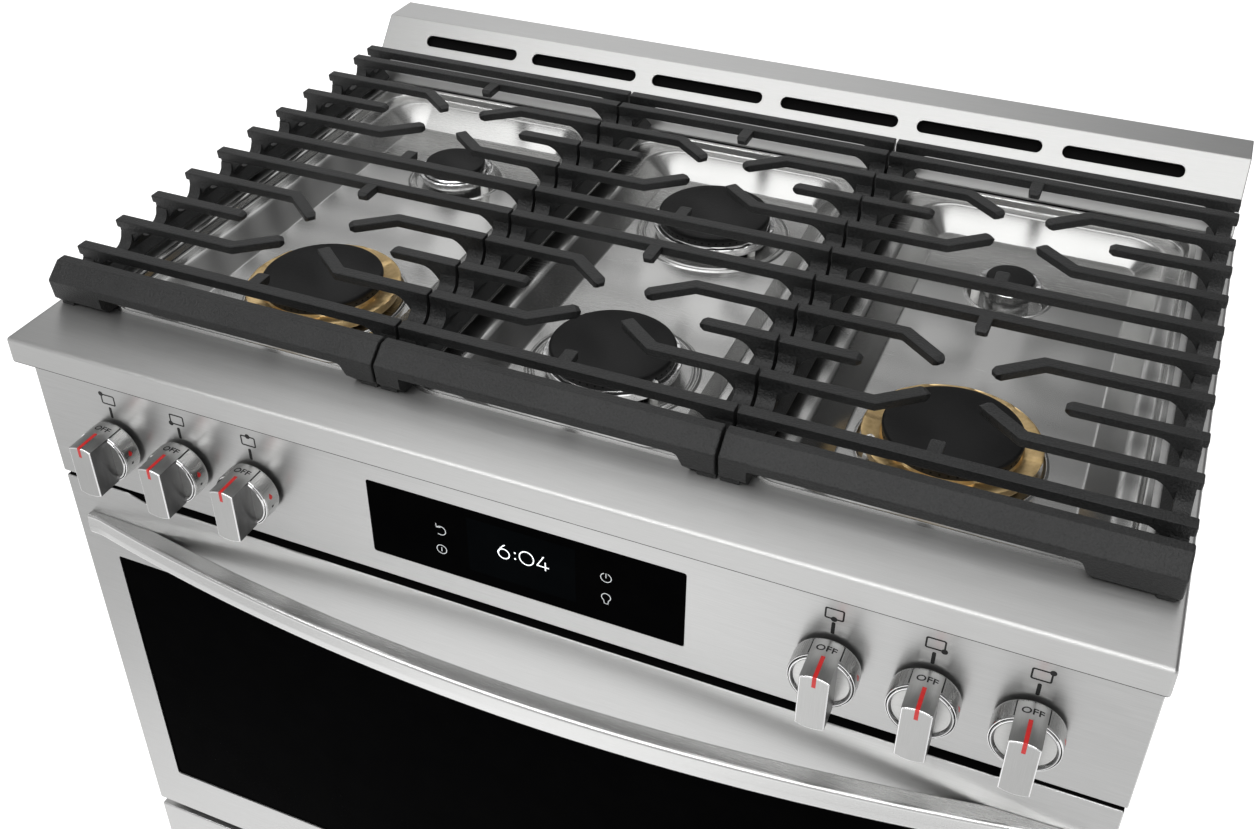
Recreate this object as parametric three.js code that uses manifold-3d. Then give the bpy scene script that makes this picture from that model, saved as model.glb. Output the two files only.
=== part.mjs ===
// Freestanding 36-inch-class gas range: six sealed burners under three cast-iron grates, a control panel
// with six push-and-turn knobs, a drop-down oven door with a bowed handle, and a storage drawer.
// Millimetres, +Z up, front of the range towards -Y, +X to the right of someone standing in front of it.
// Inside this file Y = 0 is the cooktop's front lip and Z = 0 is the floor. The outer group shifts Y so that the
// origin lies under the middle of the whole object.
import * as THREE from "three";
import { mergeVertices } from "three/addons/utils/BufferGeometryUtils.js";
import Module from "manifold-3d";

const wasm = await Module();
wasm.setup();

// ---------------------------------------------------------------- driving dimensions
const LIP_HALF = 457; // half width of the cooktop lip
const BODY_HALF = 456.3; // half width of panels and sides
const COOKTOP_Z = 914; // cooktop rim height above the floor
const LIP_Z0 = 890.3; // underside of the front lip
const SHEET = 1.6; // stamped sheet thickness
const COOKTOP_REAR = 569.5;

const POCKET_Z = 905; // floor of the shallow step round each well
const WELL_Z = 884; // floor of each well
const POCKET_Y = [75, 562];
const WELL_Y = [85, 553];
const WELL_SLOPE = 24; // how far the well wall leans in over its depth
const POCKETS_X = [
  [-419, -151],
  [-127, 127],
  [151, 419],
];
const WELLS_X = [
  [-403, -176],
  [-103, 103],
  [176, 403],
];

const BURNER_X = [-279.5, 0, 279.5];
const BURNER_Y = [196, 440];

const GRATE_TOP = 952;
const GRATE_FOOT = 914.6;
const GRATE_BAR = 11.5; // width of a bar's top
const GRATES_X = [
  [-452.4, -140.3],
  [-138.3, 138.3],
  [140.3, 452.4],
];
const ROW_Y = [98.5, 147.5, 196, 244.5, 293.5, 342, 391, 440, 488.5, 537.5, 565.5];
const RAIL_W = 13;
const GRATE_LIFT = 60; // how far a grate is lifted to take it away

const FACE_Y = 19.4; // front plane of the control panel, door and drawer
const PANEL_Z = [760, 888.6];
const GLASS_X = 133; // half width of the display glass
const GLASS_Z = [782, 855.5];
const KNOB_X = [-382, -312, -242, 242, 312, 382];
const KNOB_Z = 813.5;
const KNOB_R = 24.9;
const KNOB_BACK = 16; // rear plane of the knob skirt
const KNOB_RING = -2.6; // front plane of the knob skirt
const KNOB_FRONT = -23.5; // front plane of the grip bar
const KNOB_BAR = 21.4; // width of the grip bar
const STEM_R = 4;
const PUSH = 3; // travel of a knob when it is pressed to unlock it

const DOOR_HALF = 455;
const DOOR_Z = [305, 749.5];
const DOOR_EAR_Z = 755.5; // the raised ends of the door's top edge
const DOOR_BACK = 60;
const WINDOW_X = 419;
const WINDOW_Z = [362, 669.6];
const PIVOT = { y: 39.4, z: 324 };
const HINGE_X = 430;

const HANDLE_HALF = 425;
const HANDLE_Z = 708.5;
const HANDLE_Y = -22; // centre line of the bar in the middle of the door
const HANDLE_BOW = 46.5; // how far the bar comes back towards the door at its ends
const HANDLE_POWER = 1.95;

const CAVITY_X = 360;
const CAVITY_Z = [362, 735];
const CAVITY_Y = [71, 530];
const FLANGE_Y = [69, 71];
const LINER = 2;
const RIB_Z = [420, 480, 540, 600, 660]; // rack guide levels
const RACK_LEVELS = [2, 0]; // upper rack, lower rack
const RACK_Y = [88, 468];
const FAN = { x: 0, z: 555, y: [500, 520], r: 84 };

const DRAWER_Z = [72, 295];
const DRAWER_BACK = 58;
const DRAWER_BOX = { x: 395, y: [59, 560], z: [84, 250], wall: 2 };
const BASE_Z = 45;
const BACK_Y = [640, 641.6];
const GUARD_TOP = 969.8;
const GUARD_Y = [570, 619, 662]; // foot of the slanted face, its top edge, the rear
const SLOTS_X = [
  [-401, -290],
  [-271, -150],
  [-131, -10],
  [10, 131],
  [150, 271],
  [290, 401],
];
const GAP = 0.35; // gap between touching sheet parts

// ---------------------------------------------------------------- geometry helpers
function solid(geometry) {
  let g = geometry.index ? geometry.toNonIndexed() : geometry.clone();
  for (const key of Object.keys(g.attributes)) if (key !== "position") g.deleteAttribute(key);
  g = mergeVertices(g, 1e-3);
  const p = g.attributes.position.array;
  const src = g.index.array;
  const tri = [];
  let volume = 0;
  for (let i = 0; i < src.length; i += 3) {
    const [a, b, c] = [src[i], src[i + 1], src[i + 2]];
    if (a === b || b === c || a === c) continue;
    tri.push(a, b, c);
    const ax = p[3 * a], ay = p[3 * a + 1], az = p[3 * a + 2];
    const bx = p[3 * b], by = p[3 * b + 1], bz = p[3 * b + 2];
    const cx = p[3 * c], cy = p[3 * c + 1], cz = p[3 * c + 2];
    volume += ax * (by * cz - bz * cy) + ay * (bz * cx - bx * cz) + az * (bx * cy - by * cx);
  }
  if (volume < 0) for (let i = 0; i < tri.length; i += 3) [tri[i + 1], tri[i + 2]] = [tri[i + 2], tri[i + 1]];
  return new wasm.Manifold(
    new wasm.Mesh({ numProp: 3, vertProperties: new Float32Array(p), triVerts: new Uint32Array(tri) }),
  );
}
const join = (...list) => list.flat().reduce((a, b) => a.add(b));
const cut = (body, ...list) => list.flat().reduce((a, b) => a.subtract(b), body);

function box(x0, x1, y0, y1, z0, z1) {
  const g = new THREE.BoxGeometry(Math.abs(x1 - x0), Math.abs(y1 - y0), Math.abs(z1 - z0));
  g.translate((x0 + x1) / 2, (y0 + y1) / 2, (z0 + z1) / 2);
  return solid(g);
}
// A round bar from a to b.
function rod(a, b, r, sides = 12) {
  const A = new THREE.Vector3(...a), B = new THREE.Vector3(...b);
  const d = B.clone().sub(A);
  const g = new THREE.CylinderGeometry(r, r, d.length(), sides);
  g.applyQuaternion(new THREE.Quaternion().setFromUnitVectors(new THREE.Vector3(0, 1, 0), d.clone().normalize()));
  g.translate(...A.clone().add(B).multiplyScalar(0.5).toArray());
  return solid(g);
}
// A turned piece about a vertical axis at (x, y), from [radius, z] pairs.
function turned(x, y, profile, sides = 28) {
  const g = new THREE.LatheGeometry(profile.map(([r, z]) => new THREE.Vector2(r, z)), sides);
  g.rotateX(Math.PI / 2);
  g.translate(x, y, 0);
  return solid(g);
}
function outline(points) {
  return new THREE.Shape(points.map(([u, v]) => new THREE.Vector2(u, v)));
}
function roundedRect(u0, u1, v0, v1, r) {
  const s = new THREE.Shape();
  s.moveTo(u0 + r, v0);
  s.lineTo(u1 - r, v0);
  s.absarc(u1 - r, v0 + r, r, -Math.PI / 2, 0, false);
  s.lineTo(u1, v1 - r);
  s.absarc(u1 - r, v1 - r, r, 0, Math.PI / 2, false);
  s.lineTo(u0 + r, v1);
  s.absarc(u0 + r, v1 - r, r, Math.PI / 2, Math.PI, false);
  s.lineTo(u0, v0 + r);
  s.absarc(u0 + r, v0 + r, r, Math.PI, Math.PI * 1.5, false);
  return s;
}
function extruded(shape, depth, curveSegments = 5) {
  return new THREE.ExtrudeGeometry(shape, { depth, bevelEnabled: false, curveSegments, steps: 1 });
}
// A section drawn in the Y-Z plane, run along X.
function alongX(shape, x0, x1, segments) {
  const g = extruded(shape, x1 - x0, segments); // u, v, w are Y, Z, X
  g.applyMatrix4(new THREE.Matrix4().set(0, 0, 1, x0, 1, 0, 0, 0, 0, 1, 0, 0, 0, 0, 0, 1));
  return solid(g);
}
// A section drawn in the X-Z plane, run along Y.
function alongY(shape, y0, y1, segments) {
  const g = extruded(shape, y1 - y0, segments); // u, v, w are X, Z, -Y
  g.applyMatrix4(new THREE.Matrix4().set(1, 0, 0, 0, 0, 0, -1, y1, 0, 1, 0, 0, 0, 0, 0, 1));
  return solid(g);
}
// A section drawn in the X-Y plane, run along Z.
function alongZ(shape, z0, z1, segments) {
  const g = extruded(shape, z1 - z0, segments);
  g.translate(0, 0, z0);
  return solid(g);
}
// A rounded rectangle in plan whose outline shrinks by lean from z1 down to z0.
function leaning(x0, x1, y0, y1, r, z0, z1, lean) {
  const g = extruded(roundedRect(x0, x1, y0, y1, r), z1 - z0, 3);
  g.translate(0, 0, z0);
  const p = g.attributes.position;
  const cx = (x0 + x1) / 2, cy = (y0 + y1) / 2;
  const hx = (x1 - x0) / 2, hy = (y1 - y0) / 2;
  for (let i = 0; i < p.count; i++) {
    if (p.getZ(i) < (z0 + z1) / 2) {
      p.setX(i, cx + ((p.getX(i) - cx) * (hx - lean)) / hx);
      p.setY(i, cy + ((p.getY(i) - cy) * (hy - lean)) / hy);
    }
  }
  return solid(g);
}

// ---------------------------------------------------------------- finishes
const FINISH = {
  stainless: [0xb9bab9, 0.34, 1],
  enamel: [0x23252a, 0.35, 0.1],
  galvanised: [0x9a9da0, 0.5, 0.9],
  black: [0x151515, 0.5, 0.2],
  iron: [0x2c2d2e, 0.62, 0.3],
  cap: [0x1c1c1d, 0.45, 0.1],
  brass: [0xb08a3e, 0.3, 1],
  aluminium: [0xc4c6c8, 0.35, 1],
  glass: [0x060606, 0.05, 0],
  chrome: [0xd6d8da, 0.12, 1],
  gasket: [0x3a3a3a, 0.9, 0],
  lens: [0xe8e6dc, 0.1, 0],
};
const range = new THREE.Group();
const frame = new THREE.Group();
range.add(frame);
let current = frame;
function part(name, body, finish) {
  const m = body.getMesh();
  const n = m.numProp;
  const v = new Float32Array((m.vertProperties.length / n) * 3);
  for (let i = 0; i < v.length / 3; i++) v.set(m.vertProperties.subarray(i * n, i * n + 3), i * 3);
  const g = new THREE.BufferGeometry();
  g.setAttribute("position", new THREE.BufferAttribute(v, 3));
  g.setIndex(new THREE.BufferAttribute(new Uint32Array(m.triVerts), 1));
  g.computeVertexNormals();
  const [color, roughness, metalness] = FINISH[finish];
  const mesh = new THREE.Mesh(g, new THREE.MeshStandardMaterial({ color, roughness, metalness }));
  mesh.name = name;
  current.add(mesh);
}
function body() {
  current = new THREE.Group();
  range.add(current);
}

// ---------------------------------------------------------------- cabinet
for (const side of [-1, 1]) {
  const u = [BODY_HALF, BODY_HALF - 2, BODY_HALF - 16].map((v) => side * v);
  part(
    side < 0 ? "left_side_panel" : "right_side_panel",
    alongZ(outline([[u[0], 71.6], [u[0], 639.4], [u[2], 639.4], [u[2], 637.6], [u[1], 637.6], [u[1], 73.4], [u[2], 73.4], [u[2], 71.6]]), BASE_Z + 0.4, 889),
    "stainless",
  );
}
const inletZ = 130, inletX = 425;
const glandZ = 150, glandX = -400;
part(
  "back_panel",
  cut(
    box(-452, 452, BACK_Y[0], BACK_Y[1], BASE_Z + 0.4, 889),
    rod([inletX, 630, inletZ], [inletX, 650, inletZ], 15, 16),
    rod([glandX, 630, glandZ], [glandX, 650, glandZ], 12, 16),
    ...[-260, -130, 130, 260].map((x) => box(x - 45, x + 45, 630, 650, 820, 828)),
  ),
  "galvanised",
);
part(
  "base_pan",
  join(
    box(-439, 439, 75, 637, BASE_Z, BASE_Z + 2),
    box(-439, 439, 75, 77, BASE_Z, BASE_Z + 30),
    box(-439, 439, 635, 637, BASE_Z, BASE_Z + 38),
    ...[-1, 1].map((s) => join(
      box(s * 439, s * 437, 75, 637, BASE_Z, BASE_Z + 38),
      box(s * 412, s * 399, 78, 560, BASE_Z, BASE_Z + 50),
    )),
  ),
  "black",
);
for (const [fx, sx] of [["left", -1], ["right", 1]])
  for (const [fy, y] of [["front", 112], ["rear", 600]])
    part(
      "leg_" + fy + "_" + fx,
      turned(sx * 405, y, [[0, 0], [19, 0], [19, 9], [8, 14], [8, 30], [14, 30], [14, BASE_Z - 0.4], [0, BASE_Z - 0.4]], 12),
      "black",
    );

// ---------------------------------------------------------------- oven liner with its front flange and rack guides
{
  const [z0, z1] = CAVITY_Z, [y0, y1] = CAVITY_Y, x = CAVITY_X, t = LINER;
  let liner = cut(
    join(box(-x - t, x + t, y0 - 1, y1 + t, z0 - t, z1 + t), box(-452, 452, FLANGE_Y[0], FLANGE_Y[1], 299, 756)),
    box(-x, x, y0 - 10, y1, z0, z1),
  );
  const ribs = [];
  for (const z of RIB_Z) for (const s of [-1, 1]) ribs.push(box(s * (x + 1), s * (x - 8), 90, 495, z, z + 4));
  liner = join(liner, ribs);
  liner = cut(
    liner,
    rod([FAN.x, y1 - 5, FAN.z], [FAN.x, y1 + 10, FAN.z], 9, 12),
    rod([-250, y1 - 5, 690], [-250, y1 + 10, 690], 20.8, 14),
    ...[-1, 1].map((s) => box(s * (HINGE_X + 3), s * (HINGE_X - 3), 60, 80, PIVOT.z - 8, PIVOT.z + 8)),
    // a row of holes in the floor lets the flame's heat from the bake burner in
    ...[-1, 1].map((s) => box(s * 330, s * 318, 110, 480, z0 - 5, z0 + 5)),
  );
  part("oven_liner", liner, "enamel");
  part(
    "door_gasket",
    alongY(
      (() => {
        const s = roundedRect(-372, 372, 351, 746, 14);
        s.holes.push(roundedRect(-363.5, 363.5, 359.5, 737.5, 8));
        return s;
      })(),
      60.7,
      68.6,
      3,
    ),
    "gasket",
  );
  // Burner tubes: under the floor, and below the cavity's ceiling.
  part(
    "bake_burner",
    join(
      rod([0, 120, 338], [0, 470, 338], 16, 12),
      box(-150, 150, 285, 305, 331, 345),
      rod([0, 108, 338], [0, 122, 338], 9, 12),
    ),
    "galvanised",
  );
  part(
    "broil_burner",
    join(
      box(-110, 110, 190, 400, 716, 732),
      rod([0, 390, 724], [0, 526, 724], 8, 10),
      box(-120, -108, 280, 310, 722, 734.5),
      box(108, 120, 280, 310, 722, 734.5),
    ),
    "galvanised",
  );
  // Fan cover: a dish with slots in its face.
  const slots = [];
  for (let i = 0; i < 5; i++) {
    const z = FAN.z - 64 + i * 32;
    const half = i === 2 ? 80 : i % 4 ? 78 : 55;
    slots.push(box(-half, half, 470, 500, z - 5, z + 5));
  }
  part(
    "fan_cover",
    cut(
      alongY(roundedRect(-130, 130, FAN.z - 115, FAN.z + 115, 24), 478, 529.6, 4),
      alongY(roundedRect(-128, 128, FAN.z - 113, FAN.z + 113, 22), 480, 540, 4),
      ...slots,
    ),
    "enamel",
  );
  part(
    "oven_lamp",
    join(
      (() => {
        const g = new THREE.LatheGeometry([[0, 0], [30, 0], [30, 4], [26, 12], [14, 18], [0, 20]].map(([r, h]) => new THREE.Vector2(r, h)), 14);
        g.translate(0, 0, 0);
        // the lens stands out of the rear wall towards the front
        g.rotateZ(Math.PI);
        g.translate(-250, y1 - 0.4, 690);
        return solid(g);
      })(),
      rod([-250, y1 - 1, 690], [-250, y1 + 34, 690], 19.6, 14),
    ),
    "lens",
  );
}

// ---------------------------------------------------------------- cooktop, backguard
{
  const well = (i, m, z0, z1) => leaning(WELLS_X[i][0] - m, WELLS_X[i][1] + m, WELL_Y[0] - m, WELL_Y[1] + m, 34 + m, z0, z1, WELL_SLOPE);
  const pocket = (i, m, z0, z1) => alongZ(roundedRect(POCKETS_X[i][0] - m, POCKETS_X[i][1] + m, POCKET_Y[0] - m, POCKET_Y[1] + m, 26 + m), z0, z1, 2);
  const three = [0, 1, 2];
  let top = cut(
    box(-LIP_HALF, LIP_HALF, 0, COOKTOP_REAR, LIP_Z0, COOKTOP_Z),
    box(-LIP_HALF + SHEET, LIP_HALF - SHEET, SHEET, COOKTOP_REAR - SHEET, LIP_Z0 - 5, COOKTOP_Z - SHEET),
  );
  top = join(top, three.map((i) => pocket(i, SHEET, POCKET_Z - SHEET, COOKTOP_Z - 0.1)), three.map((i) => well(i, SHEET, WELL_Z - SHEET, POCKET_Z - 0.1)));
  top = cut(top, three.map((i) => pocket(i, 0, POCKET_Z, COOKTOP_Z + 5)), three.map((i) => well(i, 0, WELL_Z, POCKET_Z + 0.01)));
  for (const x of BURNER_X) for (const y of BURNER_Y) top = cut(top, rod([x, y, WELL_Z - 8], [x, y, WELL_Z + 8], 21, 12));
  part("cooktop", top, "stainless");

  const [yf, ye, yr] = GUARD_Y;
  const t = SHEET;
  const outer = outline([[yf, 890], [yf, COOKTOP_Z], [ye, GUARD_TOP], [yr, GUARD_TOP], [yr, 890]]);
  const inner = outline([[yf + t, 880], [yf + t, COOKTOP_Z - 0.5], [ye + 0.7, GUARD_TOP - t], [yr - t, GUARD_TOP - t], [yr - t, 880]]);
  let guard = cut(alongX(outer, -454, 454), alongX(inner, -454 + t, 454 - t));
  // Slots lie in the slanted face: they are cut square to it.
  const tilt = Math.atan2(ye - yf, GUARD_TOP - COOKTOP_Z);
  for (const [a, b] of SLOTS_X) {
    const g = extruded(roundedRect((a - b) / 2, (b - a) / 2, -6.2, 6.2, 5.5), 24, 2);
    g.translate(0, 0, -12);
    g.rotateX(Math.PI / 2 - tilt);
    g.translate((a + b) / 2, 604.1, 953);
    guard = cut(guard, solid(g));
  }
  part("backguard", guard, "stainless");
}

// ---------------------------------------------------------------- control panel
{
  const [z0, z1] = PANEL_Z;
  const t = 1.6;
  let panel = cut(
    box(-BODY_HALF, BODY_HALF, FACE_Y, 61, z0, z1),
    box(-BODY_HALF + t, BODY_HALF - t, FACE_Y + t, 70, z0 + t, z1 - t),
    alongY(roundedRect(-GLASS_X - GAP, GLASS_X + GAP, GLASS_Z[0] - GAP, GLASS_Z[1] + GAP, 2), FACE_Y - 5, FACE_Y + 5, 2),
    ...KNOB_X.map((x) => rod([x, FACE_Y - 5, KNOB_Z], [x, FACE_Y + 5, KNOB_Z], 7, 12)),
  );
  part("control_panel", panel, "stainless");
  part("display_glass", alongY(roundedRect(-GLASS_X, GLASS_X, GLASS_Z[0], GLASS_Z[1], 1.6), FACE_Y - 0.3, FACE_Y + 4, 2), "glass");
  // Black louvred strip seen through the gap between the door and the control panel.
  part(
    "vent_trim",
    cut(
      box(-450, 450, 62, 66, 758, 800),
      ...[-3, -2, -1, 0, 1, 2, 3].map((i) => box(i * 118 - 50, i * 118 + 50, 60, 70, 784, 790)),
    ),
    "black",
  );
}

// ---------------------------------------------------------------- gas supply: manifold, valves, tubes, inlet
{
  const pieces = [rod([-410, 92, KNOB_Z], [inletX, 92, KNOB_Z], 11, 8)];
  const feed = [
    [BURNER_X[0], BURNER_Y[1]],
    [BURNER_X[0], BURNER_Y[0]],
    [BURNER_X[1], BURNER_Y[1]],
    [BURNER_X[1], BURNER_Y[0]],
    [BURNER_X[2], BURNER_Y[0]],
    [BURNER_X[2], BURNER_Y[1]],
  ];
  KNOB_X.forEach((x, i) => {
    pieces.push(
      cut(
        box(x - 13, x + 13, 44, 96, KNOB_Z - 13, KNOB_Z + 13),
        rod([x, 30, KNOB_Z], [x, 62, KNOB_Z], STEM_R + 0.6, 10),
      ),
    );
    const [bx, by] = feed[i];
    const d = new THREE.Vector2(bx - x, by - 92).normalize();
    pieces.push(rod([x, 92, KNOB_Z], [bx - d.x * 30, by - d.y * 30, 858], 4.5, 6));
  });
  pieces.push(
    rod([inletX, 92 - 11, KNOB_Z], [inletX, 600, KNOB_Z], 9, 8),
    rod([inletX, 600, KNOB_Z + 9], [inletX, 600, inletZ - 9], 9, 8),
    rod([inletX, 592, inletZ], [inletX, 652, inletZ], 10, 8),
    rod([inletX, 600, 230], [inletX, 600, 290], 22, 8), // pressure regulator
    rod([inletX, 645, inletZ], [inletX, 658, inletZ], 14, 6), // hexagonal inlet nut
  );
  part("gas_manifold", join(pieces), "aluminium");
  // The mains lead's strain relief bush in the back panel.
  part(
    "cord_gland",
    join(
      rod([glandX, 634, glandZ], [glandX, 648, glandZ], 11.4, 10),
      rod([glandX, 642, glandZ], [glandX, 645, glandZ], 16, 10),
      rod([glandX, 645, glandZ], [glandX, 656, glandZ], 8, 10),
    ),
    "black",
  );
}

// ---------------------------------------------------------------- burners
// Large brass, medium and small burners differ in size.
const LARGE = { head: 68.3, cap: 53.5, capR: 4.5 };
const MEDIUM = { head: 58.2, cap: 52.8, capR: 4.5 };
const SIMMER_L = { head: 38, cap: 30.3, capR: 3 };
const SIMMER_S = { head: 27.3, cap: 21.4, capR: 2.5 };
const BURNERS = [
  ["left_front", BURNER_X[0], BURNER_Y[0], LARGE, "brass"],
  ["left_rear", BURNER_X[0], BURNER_Y[1], SIMMER_L, "aluminium"],
  ["center_front", BURNER_X[1], BURNER_Y[0], MEDIUM, "aluminium"],
  ["center_rear", BURNER_X[1], BURNER_Y[1], MEDIUM, "aluminium"],
  ["right_front", BURNER_X[2], BURNER_Y[0], LARGE, "brass"],
  ["right_rear", BURNER_X[2], BURNER_Y[1], SIMMER_S, "aluminium"],
];
for (const [name, x, y, b, finish] of BURNERS) {
  const H = b.head, C = b.cap;
  part(
    "burner_head_" + name,
    turned(x, y, [
      [0, 850], [20, 850], [20, WELL_Z + 0.4], [H - 2, WELL_Z + 0.4], [H, 896], [H - 2.5, 898.6], [C - 3, 898.6], [C - 3, 900.2], [0, 900.2],
    ], 18),
    finish,
  );
  part(
    "burner_cap_" + name,
    turned(x, y, [[0, 900.6], [C, 900.6], [C, 905.5], [C - b.capR, 908.4], [0, 909.8]], 18),
    "cap",
  );
}

// ---------------------------------------------------------------- door hinges: fixed arms with a pivot pin
for (const s of [-1, 1])
  part(
    s < 0 ? "hinge_left" : "hinge_right",
    join(
      box(s * (HINGE_X - 2), s * (HINGE_X + 2), PIVOT.y, 150, PIVOT.z - 6, PIVOT.z + 6),
      rod([s * (HINGE_X - 6), PIVOT.y, PIVOT.z], [s * (HINGE_X + 6), PIVOT.y, PIVOT.z], 6, 16),
      box(s * (HINGE_X - 2), s * (HINGE_X + 14), 90, 150, PIVOT.z - 20, PIVOT.z + 20),
    ),
    "galvanised",
  );

// ---------------------------------------------------------------- oven door
body();
{
  const [z0, z1] = DOOR_Z;
  const t = 1.5;
  const hull = (m) => {
    const x = DOOR_HALF - m;
    return outline([[-x, z0 + m], [x, z0 + m], [x, DOOR_EAR_Z - m], [386 - m * 0.5, DOOR_EAR_Z - m], [372 - m * 0.5, z1 - m], [-372 + m * 0.5, z1 - m], [-386 + m * 0.5, DOOR_EAR_Z - m], [-x, DOOR_EAR_Z - m]]);
  };
  const slot = (s) => box(s * (HINGE_X - 8), s * (HINGE_X + 8), PIVOT.y - 9, 70, z0 - 5, PIVOT.z + 9);
  part(
    "door_skin",
    cut(
      alongY(hull(0), FACE_Y, 57.4),
      alongY(hull(t), FACE_Y + t, 70),
      alongY(roundedRect(-WINDOW_X, WINDOW_X, WINDOW_Z[0], WINDOW_Z[1], 3), 10, 30, 3),
      slot(-1),
      slot(1),
    ),
    "stainless",
  );
  part("door_glass", box(-WINDOW_X - 14, WINDOW_X + 14, FACE_Y + t + GAP, FACE_Y + t + GAP + 4, WINDOW_Z[0] - 14, WINDOW_Z[1] + 14), "glass");
  part(
    "door_inner_panel",
    cut(
      join(
        alongY(hull(0.8), 57.8, DOOR_BACK),
        alongY(roundedRect(-350, 350, 374, 724, 20), 59, 66, 4),
        ...[-1, 1].map((s) => box(s * 448, s * 436, 32, 58.5, 345, 720)),
      ),
      alongY(roundedRect(-348, 348, 376, 722, 18), 50, 64.4, 4),
      alongY(roundedRect(-290, 290, 425, 640, 10), 50, 80, 3),
      slot(-1),
      slot(1),
    ),
    "enamel",
  );
  part("door_inner_glass", box(-302, 302, 60.2, 64.1, 413, 652), "glass");

  // Bowed bar of nearly rectangular section with a ridge along its upper front edge.
  const path = [];
  const steps = 16;
  const section = outline([[-10, 10.4], [-8.8, 12], [8, 9], [10, 5], [10, -8], [6, -12], [-5, -12], [-11, -6], [-11.6, 0]]);
  const rings = [];
  for (let i = 0; i <= steps; i++) {
    const x = -HANDLE_HALF + (2 * HANDLE_HALF * i) / steps;
    path.push([x, HANDLE_Y + HANDLE_BOW * Math.pow(Math.abs(x) / HANDLE_HALF, HANDLE_POWER)]);
  }
  // The section is extruded straight along X in steps, then each step is carried to its place on the bow.
  const g = new THREE.ExtrudeGeometry(section, { depth: 2 * HANDLE_HALF, steps, bevelEnabled: false });
  g.applyMatrix4(new THREE.Matrix4().set(0, 0, 1, -HANDLE_HALF, 1, 0, 0, 0, 0, 1, 0, HANDLE_Z, 0, 0, 0, 1));
  const p = g.attributes.position;
  for (let i = 0; i < p.count; i++) {
    const x = p.getX(i);
    p.setY(i, p.getY(i) + HANDLE_Y + HANDLE_BOW * Math.pow(Math.abs(x) / HANDLE_HALF, HANDLE_POWER));
  }
  part("door_handle", cut(solid(g), box(-500, 500, FACE_Y - GAP, 80, 600, 800)), "stainless");
}

// ---------------------------------------------------------------- storage drawer
body();
{
  const [z0, z1] = DRAWER_Z;
  part(
    "drawer_front",
    cut(
      box(-DOOR_HALF, DOOR_HALF, FACE_Y, DRAWER_BACK, z0, z1),
      box(-DOOR_HALF + 1.5, DOOR_HALF - 1.5, FACE_Y + 1.5, 70, z0 + 1.5, z1 - 1.5),
    ),
    "stainless",
  );
  const b = DRAWER_BOX;
  part(
    "drawer_box",
    cut(
      join(box(-b.x, b.x, b.y[0], b.y[1], b.z[0], b.z[1]), box(-450, 450, b.y[0] - 0.3, b.y[0] + b.wall, z0 + 4, z1 - 4)),
      box(-b.x + b.wall, b.x - b.wall, b.y[0] + b.wall, b.y[1] - b.wall, b.z[0] + b.wall, 400),
    ),
    "galvanised",
  );
}

// ---------------------------------------------------------------- racks
RACK_LEVELS.forEach((level, k) => {
  body();
  const z = RIB_Z[level] + 4 + 0.4 + 3;
  const [y0, y1] = RACK_Y;
  const rods = [
    box(-357, -351, y0, y1, z - 3, z + 3),
    box(351, 357, y0, y1, z - 3, z + 3),
    box(-354, 354, y0 + 1, y0 + 7, z - 2.5, z + 2.5),
    box(-354, 354, y1 - 7, y1 - 1, z - 2.5, z + 2.5),
    box(-354, 354, 214, 220, z - 2.5, z + 2.5),
    box(-354, 354, 336, 342, z - 2.5, z + 2.5),
  ];
  for (let i = -4; i <= 4; i++) rods.push(box(i * 71 - 2, i * 71 + 2, y0 + 3, y1 - 3, z - 1.5, z + 1.5));
  part(k ? "lower_rack" : "upper_rack", join(rods), "chrome");
});

// ---------------------------------------------------------------- convection fan
body();
{
  const blades = [];
  for (let i = 0; i < 8; i++) {
    const a = (i / 8) * Math.PI * 2;
    const g = new THREE.BoxGeometry(FAN.r - 30, 18, 1.6);
    g.rotateX(0);
    g.translate((FAN.r - 30) / 2 + 28, 0, 0);
    g.rotateY(a);
    g.translate(FAN.x, 510, FAN.z);
    blades.push(solid(g));
  }
  part(
    "fan_wheel",
    join(
      rod([FAN.x, 518, FAN.z], [FAN.x, 520, FAN.z], FAN.r - 4, 16),
      rod([FAN.x, 500, FAN.z], [FAN.x, 520, FAN.z], 12, 12),
      rod([FAN.x, 505, FAN.z], [FAN.x, 600, FAN.z], 5, 12),
      blades,
    ),
    "aluminium",
  );
}

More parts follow.
